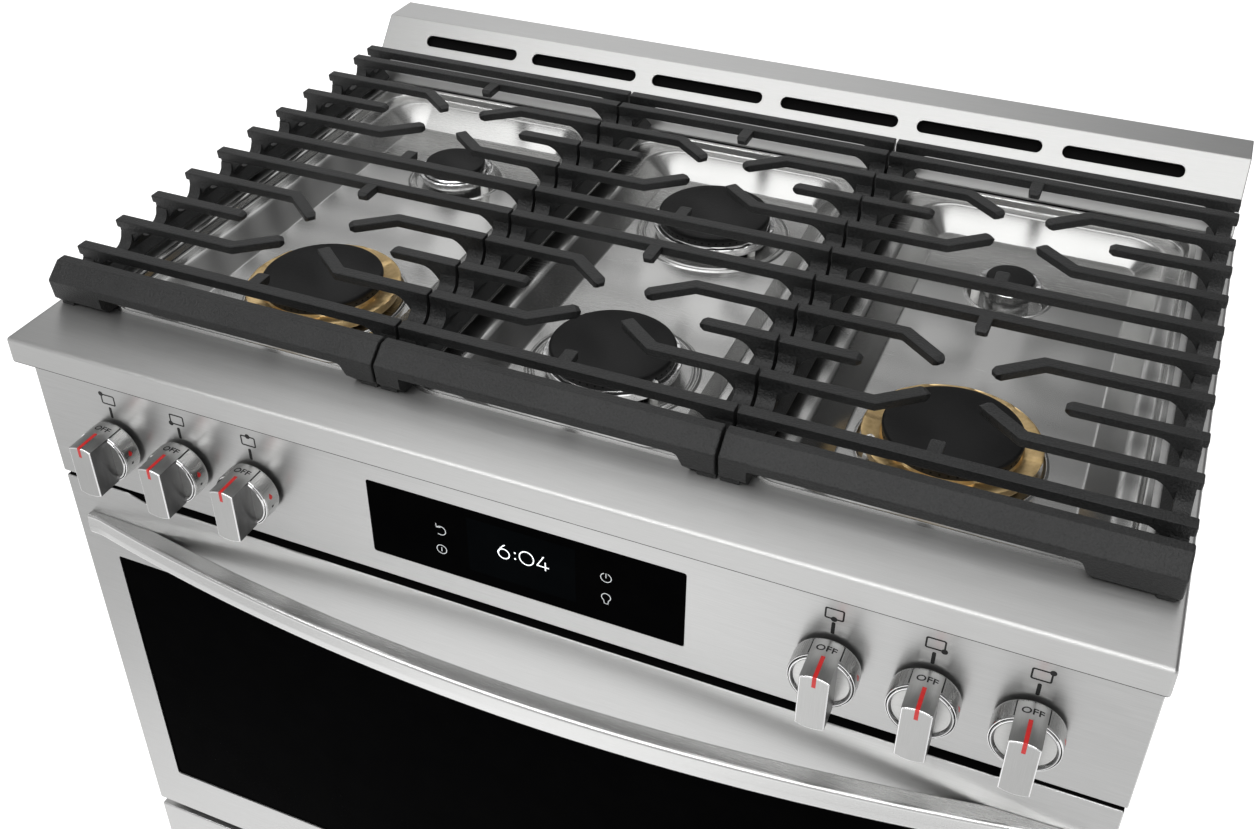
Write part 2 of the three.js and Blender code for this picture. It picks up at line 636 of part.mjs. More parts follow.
// ---------------------------------------------------------------- grates
const bar = (x0, y0, x1, y1, zt, zb, w = GRATE_BAR) => {
  const d = new THREE.Vector2(x1 - x0, y1 - y0), L = d.length(), a = Math.atan2(d.y, d.x);
  const g = new THREE.BoxGeometry(L, w, zt - zb);
  g.rotateZ(a);
  g.translate((x0 + x1) / 2, (y0 + y1) / 2, (zt + zb) / 2);
  return solid(g);
};
["left", "center", "right"].forEach((name, i) => {
  body();
  const [xl, xr] = GRATES_X[i], bx = BURNER_X[i];
  const railTop = 939, railBottom = 922, deep = 933;
  const bars = [];
  for (const [a, b] of [[xl, xl + RAIL_W], [xr - RAIL_W, xr]]) {
    bars.push(box(a, b, 60, 571, railBottom, railTop));
    for (const y of [70, 318, 565]) bars.push(box(a, b, y - 12 < 57 ? 57 : y - 12, y + 12 > 568 ? 568 : y + 12, GRATE_FOOT, railBottom + 1));
  }
  // front bar, with a sloping nose
  bars.push(
    cut(
      alongX(outline([[77.6, 952], [68.2, 952], [53.5, 940], [55.8, 922], [63, GRATE_FOOT], [77.6, GRATE_FOOT]]), xl, xr),
      box(xl + 26, xr - 26, 50, 80, 900, 921),
    ),
  );
  // each bar reaches down to the rails where it meets them
  const full = [0, 4, 5, 9, 10];
  for (const r of full) bars.push(bar(xl, ROW_Y[r], xr, ROW_Y[r], GRATE_TOP, deep));
  for (const r of [1, 2, 3, 6, 7, 8]) {
    const y = ROW_Y[r], by = BURNER_Y[r < 5 ? 0 : 1];
    for (const s of [-1, 1]) {
      const edge = s < 0 ? xl : xr;
      if (r === 2 || r === 7) {
        bars.push(bar(edge, y, bx + s * 75, y, GRATE_TOP, deep));
      } else {
        const tipY = by + Math.sign(y - by) * 21;
        bars.push(bar(edge, y, bx + s * 50, y, GRATE_TOP, deep));
        bars.push(bar(bx + s * 54, y, bx + s * 20, tipY, GRATE_TOP, deep + 2));
      }
    }
  }
  bars.push(
    bar(bx, ROW_Y[0], bx, 121, GRATE_TOP, deep + 3),
    bar(bx, ROW_Y[4], bx, 268, GRATE_TOP, deep + 3),
    bar(bx, ROW_Y[5], bx, 365, GRATE_TOP, deep + 3),
    bar(bx, ROW_Y[9], bx, 510, GRATE_TOP, deep + 3),
  );
  part("grate_" + name, join(bars), "iron");
});

// ---------------------------------------------------------------- knobs on their valve stems
const KNOB_NAMES = ["left_outer", "left_middle", "left_inner", "right_inner", "right_middle", "right_outer"];
KNOB_X.forEach((x, i) => {
  body();
  part("valve_stem_" + KNOB_NAMES[i], rod([x, KNOB_RING + 6, KNOB_Z], [x, 57, KNOB_Z], STEM_R, 10), "aluminium");
  body();
  const skirt = rod([x, KNOB_RING, KNOB_Z], [x, KNOB_BACK, KNOB_Z], KNOB_R, 24);
  const bore = rod([x, KNOB_RING + 5.5, KNOB_Z], [x, KNOB_BACK + 5, KNOB_Z], STEM_R + 0.5, 10);
  const grip = rod([x, KNOB_FRONT, KNOB_Z], [x, 2, KNOB_Z], KNOB_R, 24).intersect(
    box(x - KNOB_BAR / 2, x + KNOB_BAR / 2, KNOB_FRONT - 1, 5, KNOB_Z - 30, KNOB_Z + 30),
  );
  part("knob_" + KNOB_NAMES[i], cut(join(skirt, grip), bore), "stainless");
});

// ---------------------------------------------------------------- origin under the middle of the object
const extent = new THREE.Box3().setFromObject(range);
range.position.y = -Math.round((extent.min.y + extent.max.y) * 500) / 1000;
export default range;
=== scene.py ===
import math
import random

import bmesh
import bpy
from mathutils import Matrix, Vector


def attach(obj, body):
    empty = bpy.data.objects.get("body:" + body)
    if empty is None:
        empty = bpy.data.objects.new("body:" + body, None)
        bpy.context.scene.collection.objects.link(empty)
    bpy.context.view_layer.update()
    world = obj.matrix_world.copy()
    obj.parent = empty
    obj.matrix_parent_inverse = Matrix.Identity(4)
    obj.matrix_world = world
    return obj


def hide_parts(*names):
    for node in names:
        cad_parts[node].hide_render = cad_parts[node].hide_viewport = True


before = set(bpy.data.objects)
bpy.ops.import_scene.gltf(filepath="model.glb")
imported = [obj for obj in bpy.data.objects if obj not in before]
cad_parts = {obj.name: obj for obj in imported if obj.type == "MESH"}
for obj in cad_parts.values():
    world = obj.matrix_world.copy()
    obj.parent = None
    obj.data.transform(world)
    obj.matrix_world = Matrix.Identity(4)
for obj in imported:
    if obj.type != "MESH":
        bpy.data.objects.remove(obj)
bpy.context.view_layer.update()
scene = bpy.context.scene
random.seed(7)

# Everything below is in millimetres with Y = 0 at the cooktop's front lip. place() carries it to the row frame.
SHIFT_Y = -314.2


def place(x, y, z):
    return Vector((x * 0.001, (y + SHIFT_Y) * 0.001, z * 0.001))


# ------------------------------------------------------------------ camera
scene.view_settings.view_transform = "Standard"
camera_data = bpy.data.cameras.new("camera")
camera = bpy.data.objects.new("camera", camera_data)
scene.collection.objects.link(camera)
scene.camera = camera
camera_data.sensor_fit = "HORIZONTAL"
camera_data.sensor_width = 36.0
camera_data.lens = 1394.259558 / 1260 * 36.0
camera_data.shift_x = -(609.560791 - 630.0) / 1260
camera_data.shift_y = (365.189003 - 414.5) / 1260
camera_data.clip_start, camera_data.clip_end = 0.05, 60
turn = Vector((2.149476, 0.444481, -0.232246))
world_to_view = Matrix.Rotation(turn.length, 3, turn.normalized())
view_to_world = world_to_view.transposed() @ Matrix(((1, 0, 0), (0, -1, 0), (0, 0, -1)))
camera.matrix_world = Matrix.Translation(place(372.653835, -669.590226, 1552.001351)) @ view_to_world.to_4x4()


# ------------------------------------------------------------------ materials
def material(name):
    m = bpy.data.materials.new(name)
    m.use_nodes = True
    t = m.node_tree
    shader = t.nodes["Principled BSDF"]
    return m, t, shader


def node(t, kind, **values):
    n = t.nodes.new(kind)
    for key, value in values.items():
        if key in n.inputs:
            n.inputs[key].default_value = value
        else:
            setattr(n, key, value)
    return n


def stretched(t, scale, source="Object"):
    """Texture coordinates stretched so that a pattern runs along one axis."""
    c = node(t, "ShaderNodeTexCoord")
    m = node(t, "ShaderNodeMapping")
    m.inputs["Scale"].default_value = scale
    t.links.new(c.outputs[source], m.inputs["Vector"])
    return m.outputs["Vector"]


def noise(t, vector, scale, detail=3, rough=0.5):
    n = node(t, "ShaderNodeTexNoise")
    n.inputs["Scale"].default_value = scale
    n.inputs["Detail"].default_value = detail
    n.inputs["Roughness"].default_value = rough
    if vector is not None:
        t.links.new(vector, n.inputs["Vector"])
    return n.outputs["Fac"]


def ranged(t, value, low, high, a=0.3, b=0.7):
    n = node(t, "ShaderNodeMapRange")
    n.inputs["From Min"].default_value = a
    n.inputs["From Max"].default_value = b
    n.inputs["To Min"].default_value = low
    n.inputs["To Max"].default_value = high
    t.links.new(value, n.inputs["Value"])
    return n.outputs["Result"]


def tinted(t, value, dark, light):
    n = node(t, "ShaderNodeValToRGB")
    n.color_ramp.elements[0].position = 0.3
    n.color_ramp.elements[0].color = (*dark, 1)
    n.color_ramp.elements[1].position = 0.7
    n.color_ramp.elements[1].color = (*light, 1)
    t.links.new(value, n.inputs["Fac"])
    return n.outputs["Color"]


def bumped(t, shader, value, strength, distance):
    n = node(t, "ShaderNodeBump")
    n.inputs["Strength"].default_value = strength
    n.inputs["Distance"].default_value = distance
    t.links.new(value, n.inputs["Height"])
    t.links.new(n.outputs["Normal"], shader.inputs["Normal"])
    return n


def brushed(name, dark, light, rough, grain=(1, 60, 60), fine=40, bump=0.03, cloudy=0.5, smear=0.0):
    """Brushed sheet metal whose grain runs along the axis with the smallest scale."""
    m, t, s = material(name)
    s.inputs["Metallic"].default_value = 1.0
    grain_at = stretched(t, grain)
    fibre = noise(t, grain_at, fine, 5, 0.6)
    cloud = noise(t, stretched(t, (0.5, 1.5, 1.5)), 3.0, 3, 0.5)
    mix = node(t, "ShaderNodeMath", operation="MULTIPLY_ADD")
    mix.inputs[1].default_value = 1 - cloudy
    t.links.new(fibre, mix.inputs[0])
    low = node(t, "ShaderNodeMath", operation="MULTIPLY")
    low.inputs[1].default_value = cloudy
    t.links.new(cloud, low.inputs[0])
    t.links.new(low.outputs[0], mix.inputs[2])
    t.links.new(tinted(t, mix.outputs[0], dark, light), s.inputs["Base Color"])
    t.links.new(ranged(t, mix.outputs[0], rough - 0.04, rough + 0.05), s.inputs["Roughness"])
    bumped(t, s, fibre, bump, 0.00006)
    if smear:
        geometry = node(t, "ShaderNodeNewGeometry")
        across = node(t, "ShaderNodeVectorMath", operation="CROSS_PRODUCT")
        across.inputs[1].default_value = (1, 0, 0)
        t.links.new(geometry.outputs["Normal"], across.inputs[0])
        t.links.new(across.outputs[0], s.inputs["Tangent"])
        s.inputs["Anisotropic"].default_value = smear
    return m


def cast(name, dark, light, rough, bump, scale=900, metal=0.0, spec=0.5, distance=0.0004):
    m, t, s = material(name)
    s.inputs["Metallic"].default_value = metal
    s.inputs["Specular IOR Level"].default_value = spec
    grit = noise(t, stretched(t, (1, 1, 1)), scale, 3, 0.6)
    patch = noise(t, stretched(t, (1, 1, 1)), 22, 3, 0.5)
    add = node(t, "ShaderNodeMath", operation="MULTIPLY_ADD")
    add.inputs[1].default_value = 0.72
    part = node(t, "ShaderNodeMath", operation="MULTIPLY")
    part.inputs[1].default_value = 0.28
    t.links.new(patch, part.inputs[0])
    t.links.new(grit, add.inputs[0])
    t.links.new(part.outputs[0], add.inputs[2])
    t.links.new(tinted(t, add.outputs[0], dark, light), s.inputs["Base Color"])
    t.links.new(ranged(t, add.outputs[0], rough - 0.07, rough + 0.08), s.inputs["Roughness"])
    bumped(t, s, grit, bump, distance)
    return m


def plain(name, dark, light, rough, metal=0.0, scale=60, bump=0.02, spec=0.5, coat=0.0, spread=0.03):
    m, t, s = material(name)
    s.inputs["Metallic"].default_value = metal
    s.inputs["Specular IOR Level"].default_value = spec
    if coat:
        s.inputs["Coat Weight"].default_value = coat
        s.inputs["Coat Roughness"].default_value = 0.06
    n = noise(t, stretched(t, (1, 1, 1)), scale, 4, 0.55)
    t.links.new(tinted(t, n, dark, light), s.inputs["Base Color"])
    t.links.new(ranged(t, n, max(0.01, rough - spread), rough + spread), s.inputs["Roughness"])
    bumped(t, s, n, bump, 0.0003)
    return m


STEEL = brushed("stainless_sheet", (0.43, 0.43, 0.426), (0.55, 0.55, 0.546), 0.31, bump=0.10, smear=0.55)
STEEL_SIDE = brushed("stainless_side", (0.44, 0.44, 0.435), (0.52, 0.52, 0.515), 0.34, grain=(60, 1, 60), bump=0.05)
STEEL_PAN = brushed("stainless_pressing", (0.47, 0.47, 0.465), (0.56, 0.56, 0.55), 0.25, bump=0.05, cloudy=0.6, smear=0.45)
STEEL_RIM = brushed("stainless_rim", (0.46, 0.46, 0.455), (0.57, 0.57, 0.565), 0.42, bump=0.07, smear=0.78)
STEEL_HANDLE = brushed("stainless_handle", (0.56, 0.56, 0.555), (0.66, 0.66, 0.655), 0.25, bump=0.03, smear=0.2)
STEEL_SLOPE_SHADED = brushed("stainless_slope_painted_shade", (0.37, 0.37, 0.365), (0.44, 0.44, 0.435), 0.36, bump=0.05, smear=0.4)
STEEL_KNOB = brushed("stainless_knob", (0.42, 0.42, 0.415), (0.52, 0.52, 0.515), 0.28, grain=(60, 1, 60), bump=0.06, cloudy=0.3)
STEEL_BAR = brushed("stainless_bar", (0.42, 0.42, 0.415), (0.50, 0.50, 0.495), 0.34, grain=(60, 4, 1), bump=0.05, cloudy=0.3)
STEEL_FLANK_SHADED = brushed("stainless_flank_painted_shade", (0.13, 0.13, 0.13), (0.20, 0.20, 0.20), 0.34, grain=(60, 4, 1), bump=0.05, cloudy=0.3)
STEEL_DISC = brushed("stainless_disc", (0.54, 0.54, 0.53), (0.64, 0.64, 0.63), 0.30, grain=(4, 60, 60), bump=0.05, cloudy=0.3)
CHROME = plain("bright_rim", (0.70, 0.70, 0.70), (0.76, 0.76, 0.76), 0.08, metal=1, scale=40, bump=0.01)
IRON = cast("grate_iron", (0.003, 0.0031, 0.0032), (0.024, 0.0245, 0.0245), 0.43, 0.9, scale=620, spec=0.32, distance=0.0008)
CAP = cast("cap_enamel", (0.003, 0.003, 0.0032), (0.0075, 0.0075, 0.0075), 0.44, 0.25, scale=500, spec=0.16)
BRASS = cast("burner_brass", (0.60, 0.42, 0.19), (0.80, 0.60, 0.32), 0.36, 0.10, scale=240, metal=1)
ALU = cast("burner_aluminium", (0.66, 0.66, 0.66), (0.80, 0.80, 0.80), 0.22, 0.07, scale=240, metal=1)
PORT = cast("burner_wall", (0.008, 0.008, 0.008), (0.018, 0.018, 0.018), 0.5, 0.15, scale=700, spec=0.3)
GLASS = plain("black_glass", (0.0006, 0.0006, 0.0007), (0.0010, 0.0010, 0.0011), 0.07, scale=30, bump=0.004, spec=0.002)
SCREEN = plain("screen_glass", (0.0010, 0.0013, 0.0016), (0.0015, 0.0019, 0.0022), 0.10, scale=30, bump=0.004, spec=0.002)
BLACK_AND_SHADOW_LINE = plain("black_steel", (0.010, 0.010, 0.010), (0.020, 0.020, 0.020), 0.5, scale=300, bump=0.08)
PAINTED_SHADE_BLACK = plain("painted_shade_black", (0.0010, 0.0010, 0.0010), (0.0018, 0.0018, 0.0018), 0.85, scale=200, bump=0.03, spec=0.1)
INK_AND_GROOVE_SHADE = plain("print_black_and_groove_shade", (0.006, 0.006, 0.006), (0.010, 0.010, 0.010), 0.5, scale=400, bump=0.01, spec=0.3)
RED = plain("paint_red", (0.46, 0.012, 0.012), (0.56, 0.022, 0.020), 0.32, scale=400, bump=0.02)
ENAMEL = plain("oven_enamel", (0.012, 0.014, 0.020), (0.024, 0.027, 0.038), 0.18, scale=260, bump=0.03, coat=0.5, spread=0.06)
ZINC = plain("zinc_sheet", (0.34, 0.35, 0.36), (0.52, 0.53, 0.54), 0.42, metal=1, scale=70, bump=0.02, spread=0.10)
WIRE = plain("rack_chrome", (0.62, 0.62, 0.62), (0.72, 0.72, 0.72), 0.14, metal=1, scale=60, bump=0.01)
TUBE = plain("aluminium_tube", (0.60, 0.61, 0.62), (0.70, 0.71, 0.72), 0.34, metal=1, scale=120, bump=0.02)
CERAMIC = plain("ceramic_white", (0.70, 0.70, 0.68), (0.82, 0.82, 0.80), 0.3, scale=200, bump=0.02)
RUBBER = plain("moulded_black", (0.012, 0.012, 0.012), (0.022, 0.022, 0.022), 0.55, scale=500, bump=0.08)


def lit(name, colour, strength):
    m, t, s = material(name)
    n = noise(t, stretched(t, (1, 1, 1)), 300, 2, 0.5)
    t.links.new(tinted(t, n, tuple(c * 0.97 for c in colour), colour), s.inputs["Emission Color"])
    s.inputs["Emission Strength"].default_value = strength
    s.inputs["Base Color"].default_value = (*colour, 1)
    s.inputs["Roughness"].default_value = 0.5
    return m


DIGITS = lit("clock_digits", (0.92, 0.95, 0.97), 0.9)
ICON_WHITE = lit("touch_icons", (0.55, 0.57, 0.58), 0.30)

m, t, s = material("inner_glass")
s.inputs["Base Color"].default_value = (0.02, 0.02, 0.022, 1)
s.inputs["Transmission Weight"].default_value = 0.75
s.inputs["IOR"].default_value = 1.45
haze = noise(t, stretched(t, (1, 1, 1)), 20, 3, 0.5)
t.links.new(ranged(t, haze, 0.03, 0.09), s.inputs["Roughness"])
INNER_GLASS = m

m, t, s = material("lamp_lens")
haze = noise(t, stretched(t, (1, 1, 1)), 160, 3, 0.5)
t.links.new(tinted(t, haze, (0.78, 0.76, 0.70), (0.88, 0.87, 0.82)), s.inputs["Base Color"])
t.links.new(ranged(t, haze, 0.06, 0.16), s.inputs["Roughness"])
bumped(t, s, haze, 0.2, 0.001)
LENS = m

m, t, s = material("braided_seal")
s.inputs["Roughness"].default_value = 0.85
wave = node(t, "ShaderNodeTexWave")
wave.inputs["Scale"].default_value = 140
wave.inputs["Distortion"].default_value = 2.0
wave.bands_direction = "DIAGONAL"
t.links.new(stretched(t, (1, 1, 1)), wave.inputs["Vector"])
t.links.new(tinted(t, wave.outputs["Fac"], (0.03, 0.03, 0.03), (0.10, 0.10, 0.098)), s.inputs["Base Color"])
bumped(t, s, wave.outputs["Fac"], 0.6, 0.001)
BRAID = m


# ------------------------------------------------------------------ mesh tools
def finish_mesh(bm, name, mats, body=None, replaces=(), angle=32, weighted=True, merge=0.0005):
    """The bmesh in millimetres becomes an object in the row frame."""
    if merge:
        bmesh.ops.remove_doubles(bm, verts=bm.verts, dist=merge)
    bmesh.ops.recalc_face_normals(bm, faces=bm.faces)
    for v in bm.verts:
        v.co = place(*v.co)
    me = bpy.data.meshes.new(name)
    bm.to_mesh(me)
    bm.free()
    for mat in mats:
        me.materials.append(mat)
    return finish_object(me, name, body, replaces, angle, weighted)


def finish_object(me, name, body, replaces=(), angle=32, weighted=True):
    for p in me.polygons:
        p.use_smooth = True
    me.set_sharp_from_angle(angle=math.radians(angle))
    ob = bpy.data.objects.new(name, me)
    scene.collection.objects.link(ob)
    if weighted:
        w = ob.modifiers.new("weighted", "WEIGHTED_NORMAL")
        w.keep_sharp = True
        w.weight = 50
    if body:
        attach(ob, body)
    if replaces:
        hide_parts(*replaces)
    return ob


def rrect(u0, u1, v0, v1, r, n=6):
    """A rounded rectangle that shrinks by d, counter-clockwise, with the same points for every d."""

    def loop(d=0.0):
        a, b, c, e = u0 + d, u1 - d, v0 + d, v1 - d
        q = max(r - d, 0.02)
        pts = []
        for cu, cv, start in ((b - q, c + q, -90), (b - q, e - q, 0), (a + q, e - q, 90), (a + q, c + q, 180)):
            for i in range(n + 1):
                w = math.radians(start + 90 * i / n)
                pts.append((cu + q * math.cos(w), cv + q * math.sin(w)))
        return pts

    return loop


def circle(u, v, r, n=48):
    def loop(d=0.0):
        q = max(r - d, 0.01)
        return [(u + q * math.cos(2 * math.pi * i / n), v + q * math.sin(2 * math.pi * i / n)) for i in range(n)]

    return loop


def polygon(points):
    """A counter-clockwise outline that shrinks by d along its mitres."""

    def loop(d=0.0):
        if not d:
            return list(points)
        out, n = [], len(points)
        for i in range(n):
            p, a, b = Vector(points[i]), Vector(points[i - 1]), Vector(points[(i + 1) % n])
            e1, e2 = (p - a).normalized(), (b - p).normalized()
            n1, n2 = Vector((-e1.y, e1.x)), Vector((-e2.y, e2.x))
            k = (n1 + n2) / max(1 + n1.dot(n2), 0.25)
            out.append(tuple(p + k * d))
        return out

    return loop


def grown(loop):
    """For a hole: the same outline, which grows by d instead."""
    return lambda d=0.0: loop(-d)


def edge_round(w0, w1, r, n=3, last=True):
    """(inset, w) pairs of a wall from w0 to w1 whose edges are rounded by r at the start, and at the end if last."""
    s = 1 if w1 > w0 else -1
    path = []
    for i in range(n + 1):
        a = math.pi / 2 * i / n
        path.append((r * (1 - math.sin(a)), w0 + s * r * (1 - math.cos(a))))
    if last:
        for i in range(n + 1):
            a = math.pi / 2 * i / n
            path.append((r * (1 - math.cos(a)), w1 - s * r * (1 - math.sin(a))))
    else:
        path.append((0, w1))
    return path


def ring(bm, loop, d, w, at):
    return [bm.verts.new(at(u, v, w)) for u, v in loop(d)]


def bridge(bm, a, b, mat=0):
    n = len(a)
    for i in range(n):
        f = bm.faces.new((a[i], a[(i + 1) % n], b[(i + 1) % n], b[i]))
        f.material_index = mat


def edges_of(bm, loop):
    return [bm.edges.get((loop[i], loop[(i + 1) % len(loop)])) or bm.edges.new((loop[i], loop[(i + 1) % len(loop)])) for i in range(len(loop))]


def fill(bm, loops, mat=0):
    if len(loops) == 1:
        f = bm.faces.new(loops[0])
        f.material_index = mat
        return
    edges = [e for l in loops for e in edges_of(bm, l)]
    made = bmesh.ops.triangle_fill(bm, use_beauty=True, use_dissolve=False, edges=edges)
    for g in made["geom"]:
        if isinstance(g, bmesh.types.BMFace):
            g.material_index = mat


def shell(bm, outer, path, at, holes=(), hole_path=None, mat=0, cap0=True, cap1=True):
    """A closed piece from an outline that follows path, with holes that follow hole_path. at(u, v, w) gives millimetres."""
    rings = [ring(bm, outer, d, w, at) for d, w in path]
    for a, b in zip(rings, rings[1:]):
        bridge(bm, a, b, mat)
    starts, ends = [rings[0]], [rings[-1]]
    for hole in holes:
        inner = [ring(bm, grown(hole), d, w, at) for d, w in (hole_path or path)]
        for a, b in zip(inner, inner[1:]):
            bridge(bm, a, b, mat)
        starts.append(inner[0])
        ends.append(inner[-1])
    if cap0:
        fill(bm, starts, mat)
    if cap1:
        fill(bm, ends, mat)


def in_xz(u, v, w):
    return (u, w, v)  # outline in X-Z, w along Y


def in_yz(u, v, w):
    return (w, u, v)  # outline in Y-Z, w along X


def in_xy(u, v, w):
    return (u, v, w)  # outline in X-Y, w along Z


def lathe(bm, x, y, profile, n=48, mat=0, mats=None, axis="Z", z=0.0):
    """A turned piece. Profile points are (radius, height). Its ends lie on the axis, or it closes on itself."""
    rows = []
    for r, h in profile:
        if r < 1e-6:
            rows.append([bm.verts.new((x, y, h) if axis == "Z" else (x, h, z))])
        elif axis == "Z":
            rows.append([bm.verts.new((x + r * math.cos(2 * math.pi * i / n), y + r * math.sin(2 * math.pi * i / n), h)) for i in range(n)])
        else:
            rows.append([bm.verts.new((x + r * math.cos(2 * math.pi * i / n), h, z + r * math.sin(2 * math.pi * i / n))) for i in range(n)])
    for k, (a, b) in enumerate(zip(rows, rows[1:])):
        m_i = mats[k] if mats else mat
        for i in range(n):
            j = (i + 1) % n
            if len(a) == 1 and len(b) == 1:
                continue
            if len(a) == 1:
                f = bm.faces.new((a[0], b[j], b[i]))
            elif len(b) == 1:
                f = bm.faces.new((a[i], a[j], b[0]))
            else:
                f = bm.faces.new((a[i], a[j], b[j], b[i]))
            f.material_index = m_i
    return rows


def sweep(bm, section, stations, mat=0, close=True):
    """section: list of (a, b). stations: list of (origin, axis_a, axis_b, inset), all in millimetres."""
    rings = []
    for origin, ua, ub, d in stations:
        pts = section(d)
        rings.append([bm.verts.new(Vector(origin) + Vector(ua) * a + Vector(ub) * b) for a, b in pts])
    for a, b in zip(rings, rings[1:]):
        bridge(bm, a, b, mat)
    if close:
        for r in (rings[0], rings[-1]):
            f = bm.faces.new(r)
            f.material_index = mat


def tube(bm, points, r, n=16, mat=0, ends=True):
    """A round bar along points."""
    pts = [Vector(p) for p in points]
    rings = []
    up = Vector((0, 0, 1))
    for i, p in enumerate(pts):
        d = (pts[min(i + 1, len(pts) - 1)] - pts[max(i - 1, 0)]).normalized()
        a = d.cross(up)
        if a.length < 1e-3:
            a = d.cross(Vector((0, 1, 0)))
        a.normalize()
        b = a.cross(d).normalized()
        rings.append([bm.verts.new(p + a * r * math.cos(2 * math.pi * k / n) + b * r * math.sin(2 * math.pi * k / n)) for k in range(n)])
    for a, b in zip(rings, rings[1:]):
        bridge(bm, a, b, mat)
    if ends:
        for k, (rg, p) in enumerate(((rings[0], pts[0]), (rings[-1], pts[-1]))):
            f = bm.faces.new(rg)
            f.material_index = mat


def block(bm, x0, x1, y0, y1, z0, z1, r=0.6, mat=0, n=2):
    """A box with rounded edges, as an outline in X-Y carried along Z."""
    shell(bm, rrect(min(x0, x1), max(x0, x1), min(y0, y1), max(y0, y1), r * 1.2, 2), edge_round(z0, z1, r, n), in_xy, mat=mat)


def baked(ob):
    """The object's mesh after its modifiers."""
    dg = bpy.context.evaluated_depsgraph_get()
    me = bpy.data.meshes.new_from_object(ob.evaluated_get(dg), depsgraph=dg)
    return me


def temp_object(bm, name="temp"):
    bmesh.ops.remove_doubles(bm, verts=bm.verts, dist=0.0005)
    bmesh.ops.recalc_face_normals(bm, faces=bm.faces)
    me = bpy.data.meshes.new(name)
    bm.to_mesh(me)
    bm.free()
    ob = bpy.data.objects.new(name, me)
    scene.collection.objects.link(ob)
    return ob


def combine(base, others, operation):
    """Boolean of temp objects, in millimetres. The others are removed."""
    for other in others:
        mod = base.modifiers.new("b", "BOOLEAN")
        mod.operation = operation
        mod.solver = "MANIFOLD"
        mod.object = other
        me = baked(base)
        if not len(me.polygons):
            mod.solver = "EXACT"
            me = baked(base)
        base.modifiers.clear()
        old = base.data
        base.data = me
        bpy.data.meshes.remove(old)
        bpy.data.objects.remove(other)
    return base


def from_temp(ob, name, mats, body, replaces=(), angle=32, weighted=True, clean=0.02):
    bm = bmesh.new()
    bm.from_mesh(ob.data)
    bpy.data.objects.remove(ob)
    if clean:
        bmesh.ops.dissolve_degenerate(bm, edges=bm.edges, dist=clean)
    return finish_mesh(bm, name, mats, body, replaces, angle, weighted, merge=0.0005)


# ------------------------------------------------------------------ cooktop pressing
WELLS = [(-403, -176), (-103, 103), (176, 403)]
POCKETS = [(-419, -151), (-127, 127), (151, 419)]
BX, BY = (-279.5, 0.0, 279.5), (196.0, 440.0)
BURNERS = {
    ("left", "front"): ("large", 68.3, 53.5),
    ("left", "rear"): ("simmer", 38.0, 30.3),
    ("center", "front"): ("medium", 58.2, 52.8),
    ("center", "rear"): ("medium", 58.2, 52.8),
    ("right", "front"): ("large", 68.3, 53.5),
    ("right", "rear"): ("small", 27.3, 21.4),
}
SIDES = ("left", "center", "right")


def blend_path(points, r, n=4):
    """(inset, z) corner points joined by arcs of about r."""
    out = [points[0]]
    for a, b, c in zip(points, points[1:], points[2:]):
        va, vc = Vector(a) - Vector(b), Vector(c) - Vector(b)
        k = min(r, va.length * 0.48, vc.length * 0.48)
        p, q = Vector(b) + va.normalized() * k, Vector(b) + vc.normalized() * k
        for i in range(n + 1):
            s = i / n
            out.append(tuple(p * (1 - s) ** 2 + Vector(b) * 2 * s * (1 - s) + q * s * s))
    out.append(points[-1])
    return out


